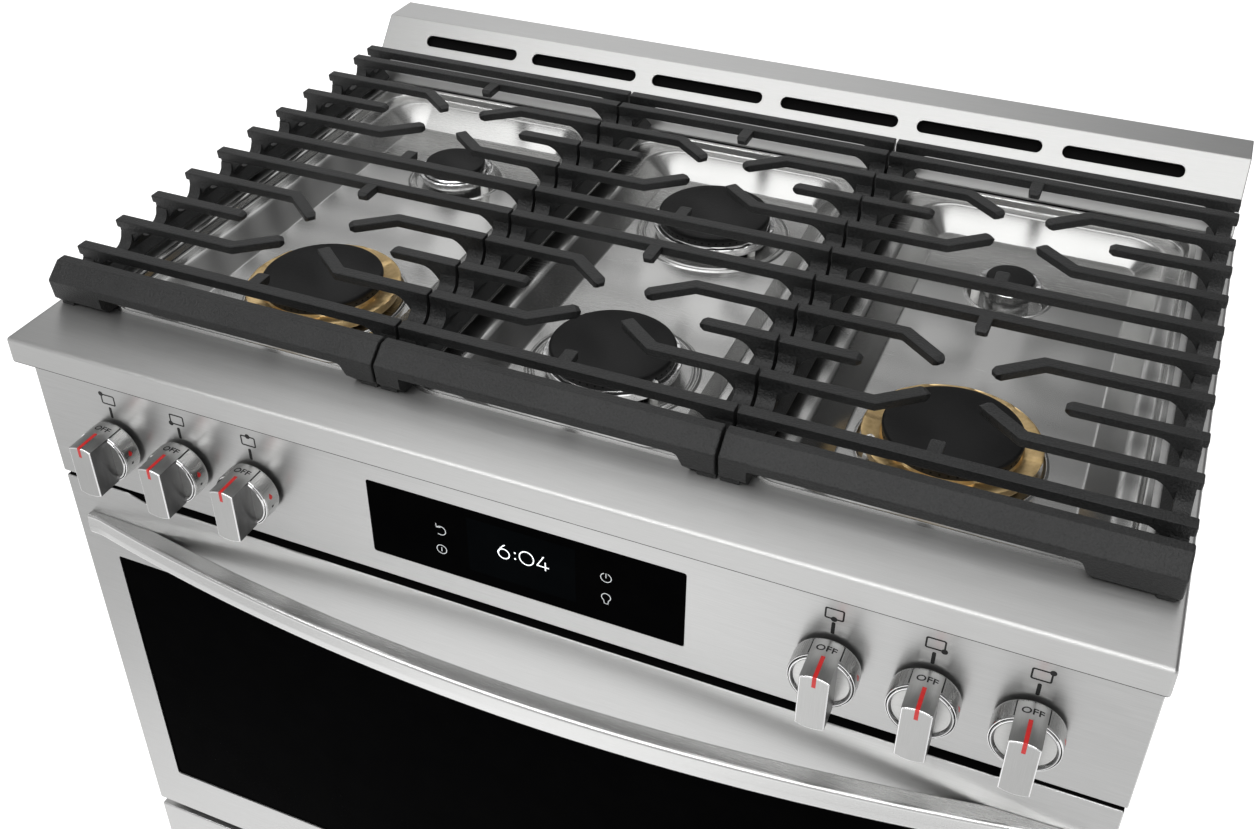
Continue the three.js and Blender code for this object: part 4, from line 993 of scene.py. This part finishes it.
# ------------------------------------------------------------------ knobs
BACK, RIM, FRONT, BARW = 16.0, -2.6, -23.5, 21.4
for name, x in zip(KNOBS, KX):
    bm = bmesh.new()
    # skirt, double rim, groove and recessed disc; the groove between the rims is painted black: painted shade in the
    # crease
    prof = [
        (0, BACK - 0.4), (4.5, BACK - 0.4), (KR - 2.6, BACK - 0.4), (KR - 1.2, BACK), (KR - 0.4, BACK - 0.5), (KR - 0.2, BACK - 1.6), (KR, BACK - 3), (KR, RIM + 2.6), (KR - 0.1, RIM + 1.9),
        (KR - 0.5, RIM + 1.2), (KR - 1.0, RIM + 1.0), (KR - 1.25, RIM + 1.5), (KR - 1.5, RIM + 1.5), (KR - 1.7, RIM + 0.8), (KR - 2.1, RIM + 0.15), (KR - 2.9, RIM), (KR - 3.6, RIM + 0.35), (KR - 4.2, RIM + 1.5), (KR - 4.5, RIM + 2.3), (KR - 6, RIM + 2.5), (0, RIM + 2.5),
    ]
    mats_at = [0] * 7 + [1, 1, 1, 2, 2, 1, 1, 1, 1, 1, 3, 3, 3]
    lathe(bm, x, 0, prof, 96, mats=mats_at, axis="Y", z=KZ)
    # grip bar: it crosses the skirt from front to back, a little proud of it, with a black strip along each side:
    # painted shade standing for a groove
    BR = KR + 0.4

    def grip_loop(d=0.0, cx=x):
        R, hw = BR - d, BARW / 2 - d
        half = math.asin(hw / R)
        pts = []
        for k in range(13):
            a = math.pi / 2 - half + 2 * half * k / 12
            pts.append((cx + R * math.cos(a), KZ + R * math.sin(a)))
        for k in range(13):
            a = -math.pi / 2 - half + 2 * half * k / 12
            pts.append((cx + R * math.cos(a), KZ + R * math.sin(a)))
        return pts

    path = [(1.0 * (1 - math.sin(a)), FRONT + 1.0 * (1 - math.cos(a))) for a in [math.pi / 2 * k / 4 for k in range(5)]]
    rings = [ring(bm, grip_loop, d, w, in_xz) for d, w in path + [(0.0, RIM + 1.0), (0.0, 13.6), (0.3, 14.0), (1.2, 14.2)]]
    for k, (a, b) in enumerate(zip(rings, rings[1:])):
        bridge(bm, a, b, 1 if k < 4 else 6)
    f = bm.faces.new(rings[0])
    f.material_index = 6
    f = bm.faces.new(rings[-1])
    f.material_index = 6
    # each side groove is a flat strip of the black print colour where bar meets skirt: painted shade
    a_in, a_out = math.asin((BARW / 2 - 0.4) / KR), math.asin((BARW / 2 + 0.85) / KR)
    for base in (math.pi / 2, -math.pi / 2):
        for s_ in (-1, 1):
            sec = []
            for rr, aa in ((KR - 0.5, a_in), (KR + 0.07, a_in), (KR + 0.07, a_out), (KR - 0.5, a_out)):
                sec.append((x + rr * math.cos(base + s_ * aa), KZ + rr * math.sin(base + s_ * aa)))
            loops = [[bm.verts.new((u_, w_, v_)) for u_, v_ in sec] for w_ in (0.6, 14.6)]
            bridge(bm, loops[0], loops[1], 2)
            for l_ in loops:
                f = bm.faces.new(l_)
                f.material_index = 2
    # the bar's flat sides take a far darker copy of the bar's stainless: painted shade
    bm.normal_update()
    for f in bm.faces:
        if f.material_index == 6 and len(f.verts) == 4 and abs(f.normal.x) > 0.97:
            f.material_index = 7
    # red pointer: along the front half of the bar's top and a little way down its front
    top_z = KZ + BR
    run = [(-1.8, top_z + 0.07), (-20.0, top_z + 0.07)]
    for k in range(7):
        a = math.pi / 2 * k / 6
        run.append((FRONT + 1.0 - (1.0 + 0.07) * math.sin(a), top_z - 1.0 + (1.0 + 0.07) * math.cos(a)))
    run.append((FRONT - 0.07, top_z - 9.4))
    hw = 1.45
    upper = [[bm.verts.new((x + s_ * hw, yy, zz)) for yy, zz in run] for s_ in (-1, 1)]
    under = [[bm.verts.new((x + s_ * hw, yy + (0.25 if q >= 5 else 0.0), zz - (0.25 if q < 5 else 0.0))) for q, (yy, zz) in enumerate(run)] for s_ in (-1, 1)]
    for k in range(len(run) - 1):
        for a, b in ((upper[0], upper[1]), (upper[1], under[1]), (under[1], under[0]), (under[0], upper[0])):
            f = bm.faces.new((a[k], a[k + 1], b[k + 1], b[k]))
            f.material_index = 4
    for k in (0, len(run) - 1):
        f = bm.faces.new((upper[0][k], upper[1][k], under[1][k], under[0][k]))
        f.material_index = 4
    # red flame mark on the skirt at three o'clock, with a small dark mark below it
    for ang, mark, mi, size in ((14, "flame", 4, 2.6), (-8, "dot", 5, 1.3)):
        pts = [(0, 1.25), (0.45, 0.55), (0.75, 0.0), (0.6, -0.55), (0.0, -0.9), (-0.6, -0.55), (-0.75, 0.0), (-0.45, 0.55)] if mark == "flame" else [(math.cos(q * math.pi / 4), math.sin(q * math.pi / 4)) for q in range(8)]
        loops = []
        for rr in (KR - 0.15, KR + 0.0, KR + 0.07):
            loops.append([bm.verts.new((x + rr * math.cos(math.radians(ang) + v_ * size / KR), 6.0 - u_ * size * 1.0, KZ + rr * math.sin(math.radians(ang) + v_ * size / KR))) for u_, v_ in pts])
        bridge(bm, loops[0], loops[1], mi)
        bridge(bm, loops[1], loops[2], mi)
        for l_ in (loops[0], loops[2]):
            f = bm.faces.new(l_)
            f.material_index = mi
    knob = finish_mesh(bm, "knob_turned_" + name, [STEEL_KNOB, CHROME, INK_AND_GROOVE_SHADE, STEEL_DISC, RED, INK_AND_GROOVE_SHADE, STEEL_BAR, STEEL_FLANK_SHADED], "knob_" + name, ["knob_" + name], angle=32, weighted=True, merge=0)
    # the word for the closed position, printed behind the pointer
    text = bpy.data.curves.new("off_text", "FONT")
    text.body = "OFF"
    text.size = 0.0076
    text.offset = 0.00012
    text.extrude = 0.00005
    text.align_x = "CENTER"
    text.align_y = "CENTER"
    text.resolution_u = 3
    tob = bpy.data.objects.new("off_text", text)
    scene.collection.objects.link(tob)
    dg = bpy.context.evaluated_depsgraph_get()
    tme = bpy.data.meshes.new_from_object(tob.evaluated_get(dg), depsgraph=dg)
    bpy.data.objects.remove(tob)
    # laid on the bar's curved top, reading from the front
    centre_y = 5.6
    for v in tme.vertices:
        u_, v_, w_ = v.co.x * 1000 * 1.15, v.co.y * 1000, v.co.z * 1000
        a = u_ / BR
        rr = BR + 0.06 + w_
        v.co = place(x + rr * math.sin(a), centre_y + v_, KZ + rr * math.cos(a))
    tme.materials.clear()
    tme.materials.append(INK_AND_GROOVE_SHADE)
    tob = bpy.data.objects.new("knob_print_" + name, tme)
    scene.collection.objects.link(tob)
    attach(tob, "knob_" + name)

# ------------------------------------------------------------------ valve stems
for name, x in zip(KNOBS, KX):
    bm = bmesh.new()
    lathe(bm, x, 0, [(0, 3.4), (3.4, 3.4), (4, 4.0), (4, 56.4), (3.4, 57), (0, 57)], 32, axis="Y", z=KZ)
    finish_mesh(bm, "stem_rod_" + name, [TUBE], "stem_" + name, ["valve_stem_" + name])

# ------------------------------------------------------------------ oven door
DH, DZ0, DZ1, EAR = 455.0, 305.0, 749.5, 755.5
door_outline = polygon(rounded([(-DH, DZ0), (DH, DZ0), (DH, EAR), (388, EAR), (370, DZ1), (-370, DZ1), (-388, EAR), (-DH, EAR)], [1.5, 1.5, 1.5, 14, 14, 14, 14, 1.5], 5))
window = rrect(-419, 419, 362, 669.6, 2.5, 4)
bm = bmesh.new()
shell(
    bm, door_outline, edge_round(FACE, 56.9, 1.3, 4, last=False) + [(0.2, 57.4), (1.2, 57.4), (1.4, 57.0), (1.4, 20.9)], in_xz,
    holes=[window], hole_path=[(0.45, FACE), (0.12, FACE + 0.12), (0, FACE + 0.45), (0, 20.9)],
)
temp = temp_object(bm)
cutters = []
for s_ in (-1, 1):
    b2 = bmesh.new()
    shell(b2, rrect(s_ * 430 - 8, s_ * 430 + 8, 300, 333, 0.8, 2), [(0, 30.4), (0, 70)], in_xz)
    cutters.append(temp_object(b2))
combine(temp, cutters, "DIFFERENCE")
door_ob = from_temp(temp, "door_face", [STEEL, PAINTED_SHADE_BLACK], "oven_door", ["door_skin"], angle=35)
# the door's top face, down in the gap under the panel, is painted near-black: painted shade
for p in door_ob.data.polygons:
    if p.normal.z > 0.6 and p.center.z > 0.745 and p.center.y > place(0, 24, 0).y:
        p.material_index = 1

bm = bmesh.new()
shell(bm, rrect(-433, 433, 348, 683.6, 3, 4), edge_round(21.25, 25.25, 0.5, 3), in_xz)
finish_mesh(bm, "door_window", [GLASS], "oven_door", ["door_glass"])

# handle: a bowed bar whose ends land on the door
HH, HZ, HY, BOW, POWER = 436.0, 708.5, -22.0, 44.6, 1.95
section_pts = rounded([(-10.2, 11.9), (-11.6, 0), (-11.2, -8), (-6, -15), (5, -15), (10, -10), (10, 5), (8, 9.4)], [3.6, 9, 5, 4.5, 4, 3, 3, 2.5], 5)
section_pts = section_pts[::-1]


def handle_section(d=0.0):
    if not d:
        return section_pts
    return [(a * (1 - d / 11.0), b * (1 - d / 12.0)) for a, b in section_pts]


bm = bmesh.new()
stations = []
N = 120
for k in range(N + 1):
    x = -HH + 2 * HH * k / N
    u = min(abs(x) / 425.0, 1.0)
    y = HY + BOW * u ** POWER
    stations.append((Vector((x, y, HZ)), Vector((0, 1, 0)), Vector((0, 0, 1)), 0.0))
ends = [(0.0, 0.9), (0.15, 0.45), (0.4, 0.12), (0.9, 0.0)]
first = [(Vector((-HH - 0.0 + a_, HY + BOW, HZ)), Vector((0, 1, 0)), Vector((0, 0, 1)), d_) for a_, d_ in ends]
final = [(Vector((HH - a_, HY + BOW, HZ)), Vector((0, 1, 0)), Vector((0, 0, 1)), d_) for a_, d_ in reversed(ends)]
sweep(bm, handle_section, first + stations[1:-1] + final)
temp = temp_object(bm)
b2 = bmesh.new()
shell(b2, rrect(-500, 500, 600, 800, 1, 1), [(0, FACE - 0.35), (0, 90)], in_xz)
combine(temp, [temp_object(b2)], "DIFFERENCE")
from_temp(temp, "handle_bar", [STEEL_HANDLE], "oven_door", ["door_handle"], angle=50)

# inner door: raised panel with the viewing window
bm = bmesh.new()
inner_outline = polygon(rounded([(-454.2, 305.8), (454.2, 305.8), (454.2, 754.7), (388.4, 754.7), (370.4, 748.7), (-370.4, 748.7), (-388.4, 754.7), (-454.2, 754.7)], [4, 4, 4, 12, 12, 12, 12, 4], 4))
view_hole = rrect(-290, 290, 425, 640, 12, 6)
rise = rrect(-350, 350, 374, 724, 24, 8)
rings = [ring(bm, inner_outline, d, w, in_xz) for d, w in [(1.2, 57.8), (0, 57.9), (0, 59.2), (0.8, 60.0)]]
for a, b in zip(rings, rings[1:]):
    bridge(bm, a, b)
front_plate, back_plate = rings[-1], rings[0]
outer_rise = [ring(bm, rise, d, w, in_xz) for d, w in [(-3, 60.0), (-0.6, 60.6), (0, 62), (0.4, 65), (2.4, 66.0), (9, 66.0)]]
for a, b in zip(outer_rise, outer_rise[1:]):
    bridge(bm, a, b)
fill(bm, [front_plate, outer_rise[0]])
hole_rings = [ring(bm, grown(view_hole), d, w, in_xz) for d, w in [(5, 66.0), (1.5, 65.6), (0.2, 64.8), (0, 64.4)]]
for a, b in zip(hole_rings, hole_rings[1:]):
    bridge(bm, a, b)
fill(bm, [outer_rise[-1], hole_rings[0]])
inner_rise = [ring(bm, rise, d, w, in_xz) for d, w in [(2.2, 57.8), (2.2, 63.2), (4.2, 64.4), (9, 64.4)]]
for a, b in zip(inner_rise, inner_rise[1:]):
    bridge(bm, a, b)
fill(bm, [back_plate, inner_rise[0]])
fill(bm, [inner_rise[-1], hole_rings[-1]])
temp = temp_object(bm)
cutters = []
for s_ in (-1, 1):
    b2 = bmesh.new()
    shell(b2, rrect(s_ * 430 - 8, s_ * 430 + 8, 300, 333, 0.8, 2), [(0, 30.4), (0, 70)], in_xz)
    cutters.append(temp_object(b2))
combine(temp, cutters, "DIFFERENCE")
from_temp(temp, "door_liner", [ENAMEL], "oven_door", ["door_inner_panel"], angle=35)
bm = bmesh.new()
shell(bm, rrect(-302, 302, 413, 652, 6, 5), edge_round(60.2, 64.1, 0.6, 3), in_xz)
finish_mesh(bm, "door_inner_pane", [INNER_GLASS], "oven_door", ["door_inner_glass"])
# retaining screws are part of the liner's look
bm = bmesh.new()
for sx in (-1, 1):
    for zz in (400, 700):
        lathe(bm, sx * 405, 0, [(0, 60.05), (4.6, 60.05), (4.6, 61.0), (3.6, 62.0), (1.6, 62.2), (0, 62.2)], 24, axis="Y", z=zz)
finish_mesh(bm, "door_liner_screws", [TUBE], "oven_door", merge=0)

# ------------------------------------------------------------------ storage drawer
bm = bmesh.new()
shell(bm, rrect(-455, 455, 72, 295, 2.0, 4), edge_round(FACE, 57.2, 1.4, 4, last=False) + [(0.3, 57.7), (1.2, 57.7), (1.5, 57.2), (1.5, 20.9)], in_xz)
finish_mesh(bm, "drawer_face", [STEEL], "storage_drawer", ["drawer_front"], angle=35)

# ------------------------------------------------------------------ side panels
for s_, name in ((-1, "left"), (1, "right")):
    bm = bmesh.new()
    u0, u1, u2 = (s_ * 456.3, s_ * 454.3, s_ * 440.3)
    pts = [(u0, 71.6), (u0, 639.4), (u2, 639.4), (u2, 637.6), (u1, 637.6), (u1, 73.4), (u2, 73.4), (u2, 71.6)]
    if s_ > 0:
        pts = pts
    area = sum(pts[k][0] * pts[(k + 1) % 8][1] - pts[(k + 1) % 8][0] * pts[k][1] for k in range(8))
    if area < 0:
        pts = pts[::-1]
    radii = []
    for p in pts:
        corner = abs(p[0]) > 456 and (p[1] < 72 or p[1] > 639)
        inner_corner = abs(abs(p[0]) - 454.3) < 0.1
        radii.append(2.2 if corner else 0.6 if inner_corner else 0.3)
    shell(bm, polygon(rounded(pts, radii, 4)), [(0.4, 45.4), (0, 45.8), (0, 888.5), (0.4, 888.9)], in_xy)
    finish_mesh(bm, "side_sheet_" + name, [STEEL_SIDE], "cabinet", [name + "_side_panel"], angle=35)

# ------------------------------------------------------------------ racks: bent round wire
for name, z in (("upper", 547.4), ("lower", 427.4)):
    bm = bmesh.new()
    y0, y1 = 91.0, 465.0
    corner = 16.0
    frame_pts = []
    for cx, cy, start in ((354 - corner, y0 + corner, -90), (354 - corner, y1 - corner, 0), (-354 + corner, y1 - corner, 90), (-354 + corner, y0 + corner, 180)):
        for k in range(9):
            a = math.radians(start + 90 * k / 8)
            frame_pts.append((cx + corner * math.cos(a), cy + corner * math.sin(a), z))
    frame_pts.append(frame_pts[0])
    tube(bm, frame_pts[:-1] + [frame_pts[0]], 3.0, 14, ends=False)
    for yy in (217.0, 339.0):
        tube(bm, [(-353, yy, z - 0.6), (353, yy, z - 0.6)], 2.5, 12)
    for k in range(-13, 14):
        xx = k * 25.6
        tube(bm, [(xx, y0 - 0.5, z + 0.6), (xx, y1 + 0.5, z + 0.6)], 1.7, 10)
    finish_mesh(bm, "rack_wires_" + name, [WIRE], "rack_" + name, [name + "_rack"], angle=50, weighted=False)

# ------------------------------------------------------------------ gasket: a round braided cord in its channel
bm = bmesh.new()
g_loop = rrect(-367.7, 367.7, 355.3, 741.7, 13, 8)()
pts3 = [(u_, 64.6, v_) for u_, v_ in g_loop]
rings = []
n = len(pts3)
for k in range(n):
    p = Vector(pts3[k])
    d = (Vector(pts3[(k + 1) % n]) - Vector(pts3[k - 1])).normalized()
    nn = Vector((0, 1, 0)).cross(d).normalized()
    rings.append([bm.verts.new(p + nn * 3.9 * math.cos(2 * math.pi * q / 14) + Vector((0, 1, 0)) * 3.7 * math.sin(2 * math.pi * q / 14)) for q in range(14)])
for k in range(n):
    bridge(bm, rings[k], rings[(k + 1) % n])
finish_mesh(bm, "gasket_cord", [BRAID], "cabinet", ["door_gasket"], angle=60, weighted=False)

# ------------------------------------------------------------------ feet, gland and lamp
for fx, sx in (("left", -1), ("right", 1)):
    for fy, yy in (("front", 112), ("rear", 600)):
        bm = bmesh.new()
        prof = [(0, 0.0), (17.6, 0.0), (18.7, 0.6), (19, 1.8), (19, 7.4), (18.2, 8.8), (16.5, 9.6), (9.6, 12.6), (8, 14)]
        zz = 14.0
        while zz < 29.0:
            prof += [(8.0, zz), (7.2, zz + 0.75), (8.0, zz + 1.5)]
            zz += 1.5
        prof += [(8, 29.6), (13.2, 29.8), (14, 30.6), (14, 44.2), (13.4, 44.6), (0, 44.6)]
        clean = [prof[0]]
        for p in prof[1:]:
            if abs(p[0] - clean[-1][0]) + abs(p[1] - clean[-1][1]) > 1e-6:
                clean.append(p)
        lathe(bm, sx * 405, yy, clean, 40)
        finish_mesh(bm, "foot_%s_%s" % (fy, fx), [BLACK_AND_SHADOW_LINE], "cabinet", ["leg_%s_%s" % (fy, fx)], angle=40, weighted=False)
bm = bmesh.new()
lathe(bm, -400, 0, [(0, 634), (10.8, 634), (11.4, 634.6), (11.4, 642), (15.4, 642), (16, 642.6), (16, 644.4), (15.4, 645), (8.6, 645), (8, 646), (7.6, 648), (8, 648.6), (7.4, 651), (7.8, 651.6), (7.2, 655.4), (6.6, 656), (0, 656)], 40, axis="Y", z=150)
finish_mesh(bm, "cord_bush", [RUBBER], "cabinet", ["cord_gland"], angle=30)
bm = bmesh.new()
prof = [(0, 564), (19, 564), (19.6, 563.4), (19.6, 530.2), (29.2, 529.6), (30, 528.8), (30, 525.8)]
for k in range(1, 9):
    a = math.pi / 2 * k / 8
    prof.append((30 * math.cos(a) ** 0.8 if k < 8 else 0, 525.6 - 15.8 * math.sin(a)))
lathe(bm, -250, 0, prof, 40, axis="Y", z=690)
finish_mesh(bm, "lamp_cover", [LENS], "cabinet", ["oven_lamp"], angle=35, weighted=False)

# ------------------------------------------------------------------ carried-over CAD pieces: softened edges and finishes
KEPT = {
    "back_panel": (ZINC, "galvanised", 0.4), "base_pan": (BLACK_AND_SHADOW_LINE, "black_steel", 0.5), "oven_liner": (ENAMEL, "enamel", 0.5), "bake_burner": (ZINC, "galvanised", 0.8),
    "broil_burner": (ZINC, "galvanised", 0.8), "fan_cover": (ENAMEL, "enamel", 0.5), "gas_manifold": (TUBE, "aluminium", 0.6), "hinge_left": (ZINC, "galvanised", 0.5),
    "hinge_right": (ZINC, "galvanised", 0.5), "drawer_box": (ZINC, "galvanised", 0.4), "fan_wheel": (TUBE, "aluminium", 0.3),
}
for name, (mat, slot_name, width) in KEPT.items():
    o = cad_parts[name]
    o.data.materials.clear()
    o.data.materials.append(mat)
    bev = o.modifiers.new("edge", "BEVEL")
    bev.width = width * 0.001
    bev.segments = 2
    bev.limit_method = "ANGLE"
    bev.angle_limit = math.radians(50)
    bev.use_clamp_overlap = True
    bev.harden_normals = False
    w = o.modifiers.new("weighted", "WEIGHTED_NORMAL")
    w.keep_sharp = True
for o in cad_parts.values():
    if not o.hide_render and o.name not in KEPT:
        print("still plain:", o.name)

# ------------------------------------------------------------------ floor and light
bm = bmesh.new()
bmesh.ops.create_grid(bm, x_segments=8, y_segments=8, size=14)
me = bpy.data.meshes.new("studio_floor")
bm.to_mesh(me)
bm.free()
floor = bpy.data.objects.new("studio_floor", me)
scene.collection.objects.link(floor)
floor.location = (0, 0, 0)
m, t, s = material("floor_white_painted_pools")
s.inputs["Roughness"].default_value = 0.8
s.inputs["Specular IOR Level"].default_value = 0.1
n_ = noise(t, stretched(t, (1, 1, 1)), 1.5, 2, 0.5)
t.links.new(tinted(t, n_, (0.47, 0.47, 0.47), (0.49, 0.49, 0.49)), s.inputs["Base Color"])
where = node(t, "ShaderNodeTexCoord")
# painted shade: two soft dark pools taken out of the floor's glow in front of the range, left and right, where the
# steel front reflects the floor
painted_shade_pools = []
for centre_, core_, radius_, depth_ in (((-1.24, -1.04, 0.0), 0.14, 1.02, 0.62), ((0.60, -1.05, 0.0), 0.10, 0.86, 0.50)):
    away = node(t, "ShaderNodeVectorMath", operation="DISTANCE")
    away.inputs[1].default_value = centre_
    t.links.new(where.outputs["Object"], away.inputs[0])
    soft = node(t, "ShaderNodeMapRange", interpolation_type="SMOOTHERSTEP")
    soft.inputs["From Min"].default_value = core_
    soft.inputs["From Max"].default_value = radius_
    soft.inputs["To Min"].default_value = depth_
    soft.inputs["To Max"].default_value = 0.0
    t.links.new(away.outputs["Value"], soft.inputs["Value"])
    painted_shade_pools.append(soft.outputs["Result"])
both = node(t, "ShaderNodeMath", operation="ADD")
t.links.new(painted_shade_pools[0], both.inputs[0])
t.links.new(painted_shade_pools[1], both.inputs[1])
rest_ = node(t, "ShaderNodeMath", operation="SUBTRACT")
rest_.inputs[0].default_value = 0.90
t.links.new(both.outputs[0], rest_.inputs[1])
t.links.new(rest_.outputs[0], s.inputs["Emission Strength"])
s.inputs["Emission Color"].default_value = (1, 1, 1, 1)
me.materials.append(m)


def softbox(name, location, target, size, power):
    data = bpy.data.lights.new(name, "AREA")
    data.shape = "RECTANGLE"
    data.size, data.size_y = size
    data.energy = power
    ob = bpy.data.objects.new(name, data)
    scene.collection.objects.link(ob)
    ob.location = location
    ob.rotation_mode = "QUATERNION"
    ob.rotation_quaternion = (Vector(target) - Vector(location)).to_track_quat("-Z", "Y")
    return ob


softbox("overhead", (0.0, -0.6, 4.6), (0, 0, 0.5), (5.0, 4.0), 98)
softbox("strip", (-0.1, -1.75, 2.7), (0, 0, 0.8), (3.6, 0.22), 26)

world = bpy.data.worlds.new("studio")
scene.world = world
world.use_nodes = True
t = world.node_tree
background = t.nodes["Background"]
coords = t.nodes.new("ShaderNodeTexCoord")
split = t.nodes.new("ShaderNodeSeparateXYZ")
t.links.new(coords.outputs["Generated"], split.inputs[0])


def math_node(op, a, b=None, c=None):
    n = t.nodes.new("ShaderNodeMath")
    n.operation = op
    for k, v in enumerate((a, b, c)):
        if v is None:
            continue
        if isinstance(v, (int, float)):
            n.inputs[k].default_value = v
        else:
            t.links.new(v, n.inputs[k])
    return n.outputs[0]


X, Y, Z = split.outputs
azimuth = math_node("ARCTAN2", X, Y)  # 0 behind the range, negative to its left


def lobe(value, centre, width):
    """1 at centre, falling smoothly to 0 beyond width."""
    d = math_node("ABSOLUTE", math_node("SUBTRACT", value, centre))
    k = t.nodes.new("ShaderNodeMapRange")
    k.interpolation_type = "SMOOTHERSTEP"
    k.inputs["From Min"].default_value = 0.0
    k.inputs["From Max"].default_value = width
    k.inputs["To Min"].default_value = 1.0
    k.inputs["To Max"].default_value = 0.0
    t.links.new(d, k.inputs["Value"])
    return k.outputs["Result"]


band = lobe(azimuth, math.radians(-26), math.radians(38))
high = lobe(Z, 0.56, 0.46)
front = lobe(Y, -1.0, 1.1)
side_band = lobe(azimuth, math.radians(44), math.radians(54))
near_ground = lobe(Z, 0.16, 0.62)
shade = math_node("MINIMUM", math_node("MULTIPLY", math_node("MULTIPLY", side_band, near_ground), 1.9), 0.97)
level = math_node("ADD", 0.34, math_node("MULTIPLY", math_node("MULTIPLY", band, high), 0.92))
level = math_node("ADD", level, math_node("MULTIPLY", front, 0.30))
level = math_node("MULTIPLY", level, math_node("SUBTRACT", 1.0, shade))
t.links.new(level, background.inputs["Strength"])
background.inputs["Color"].default_value = (1, 1, 1, 1)
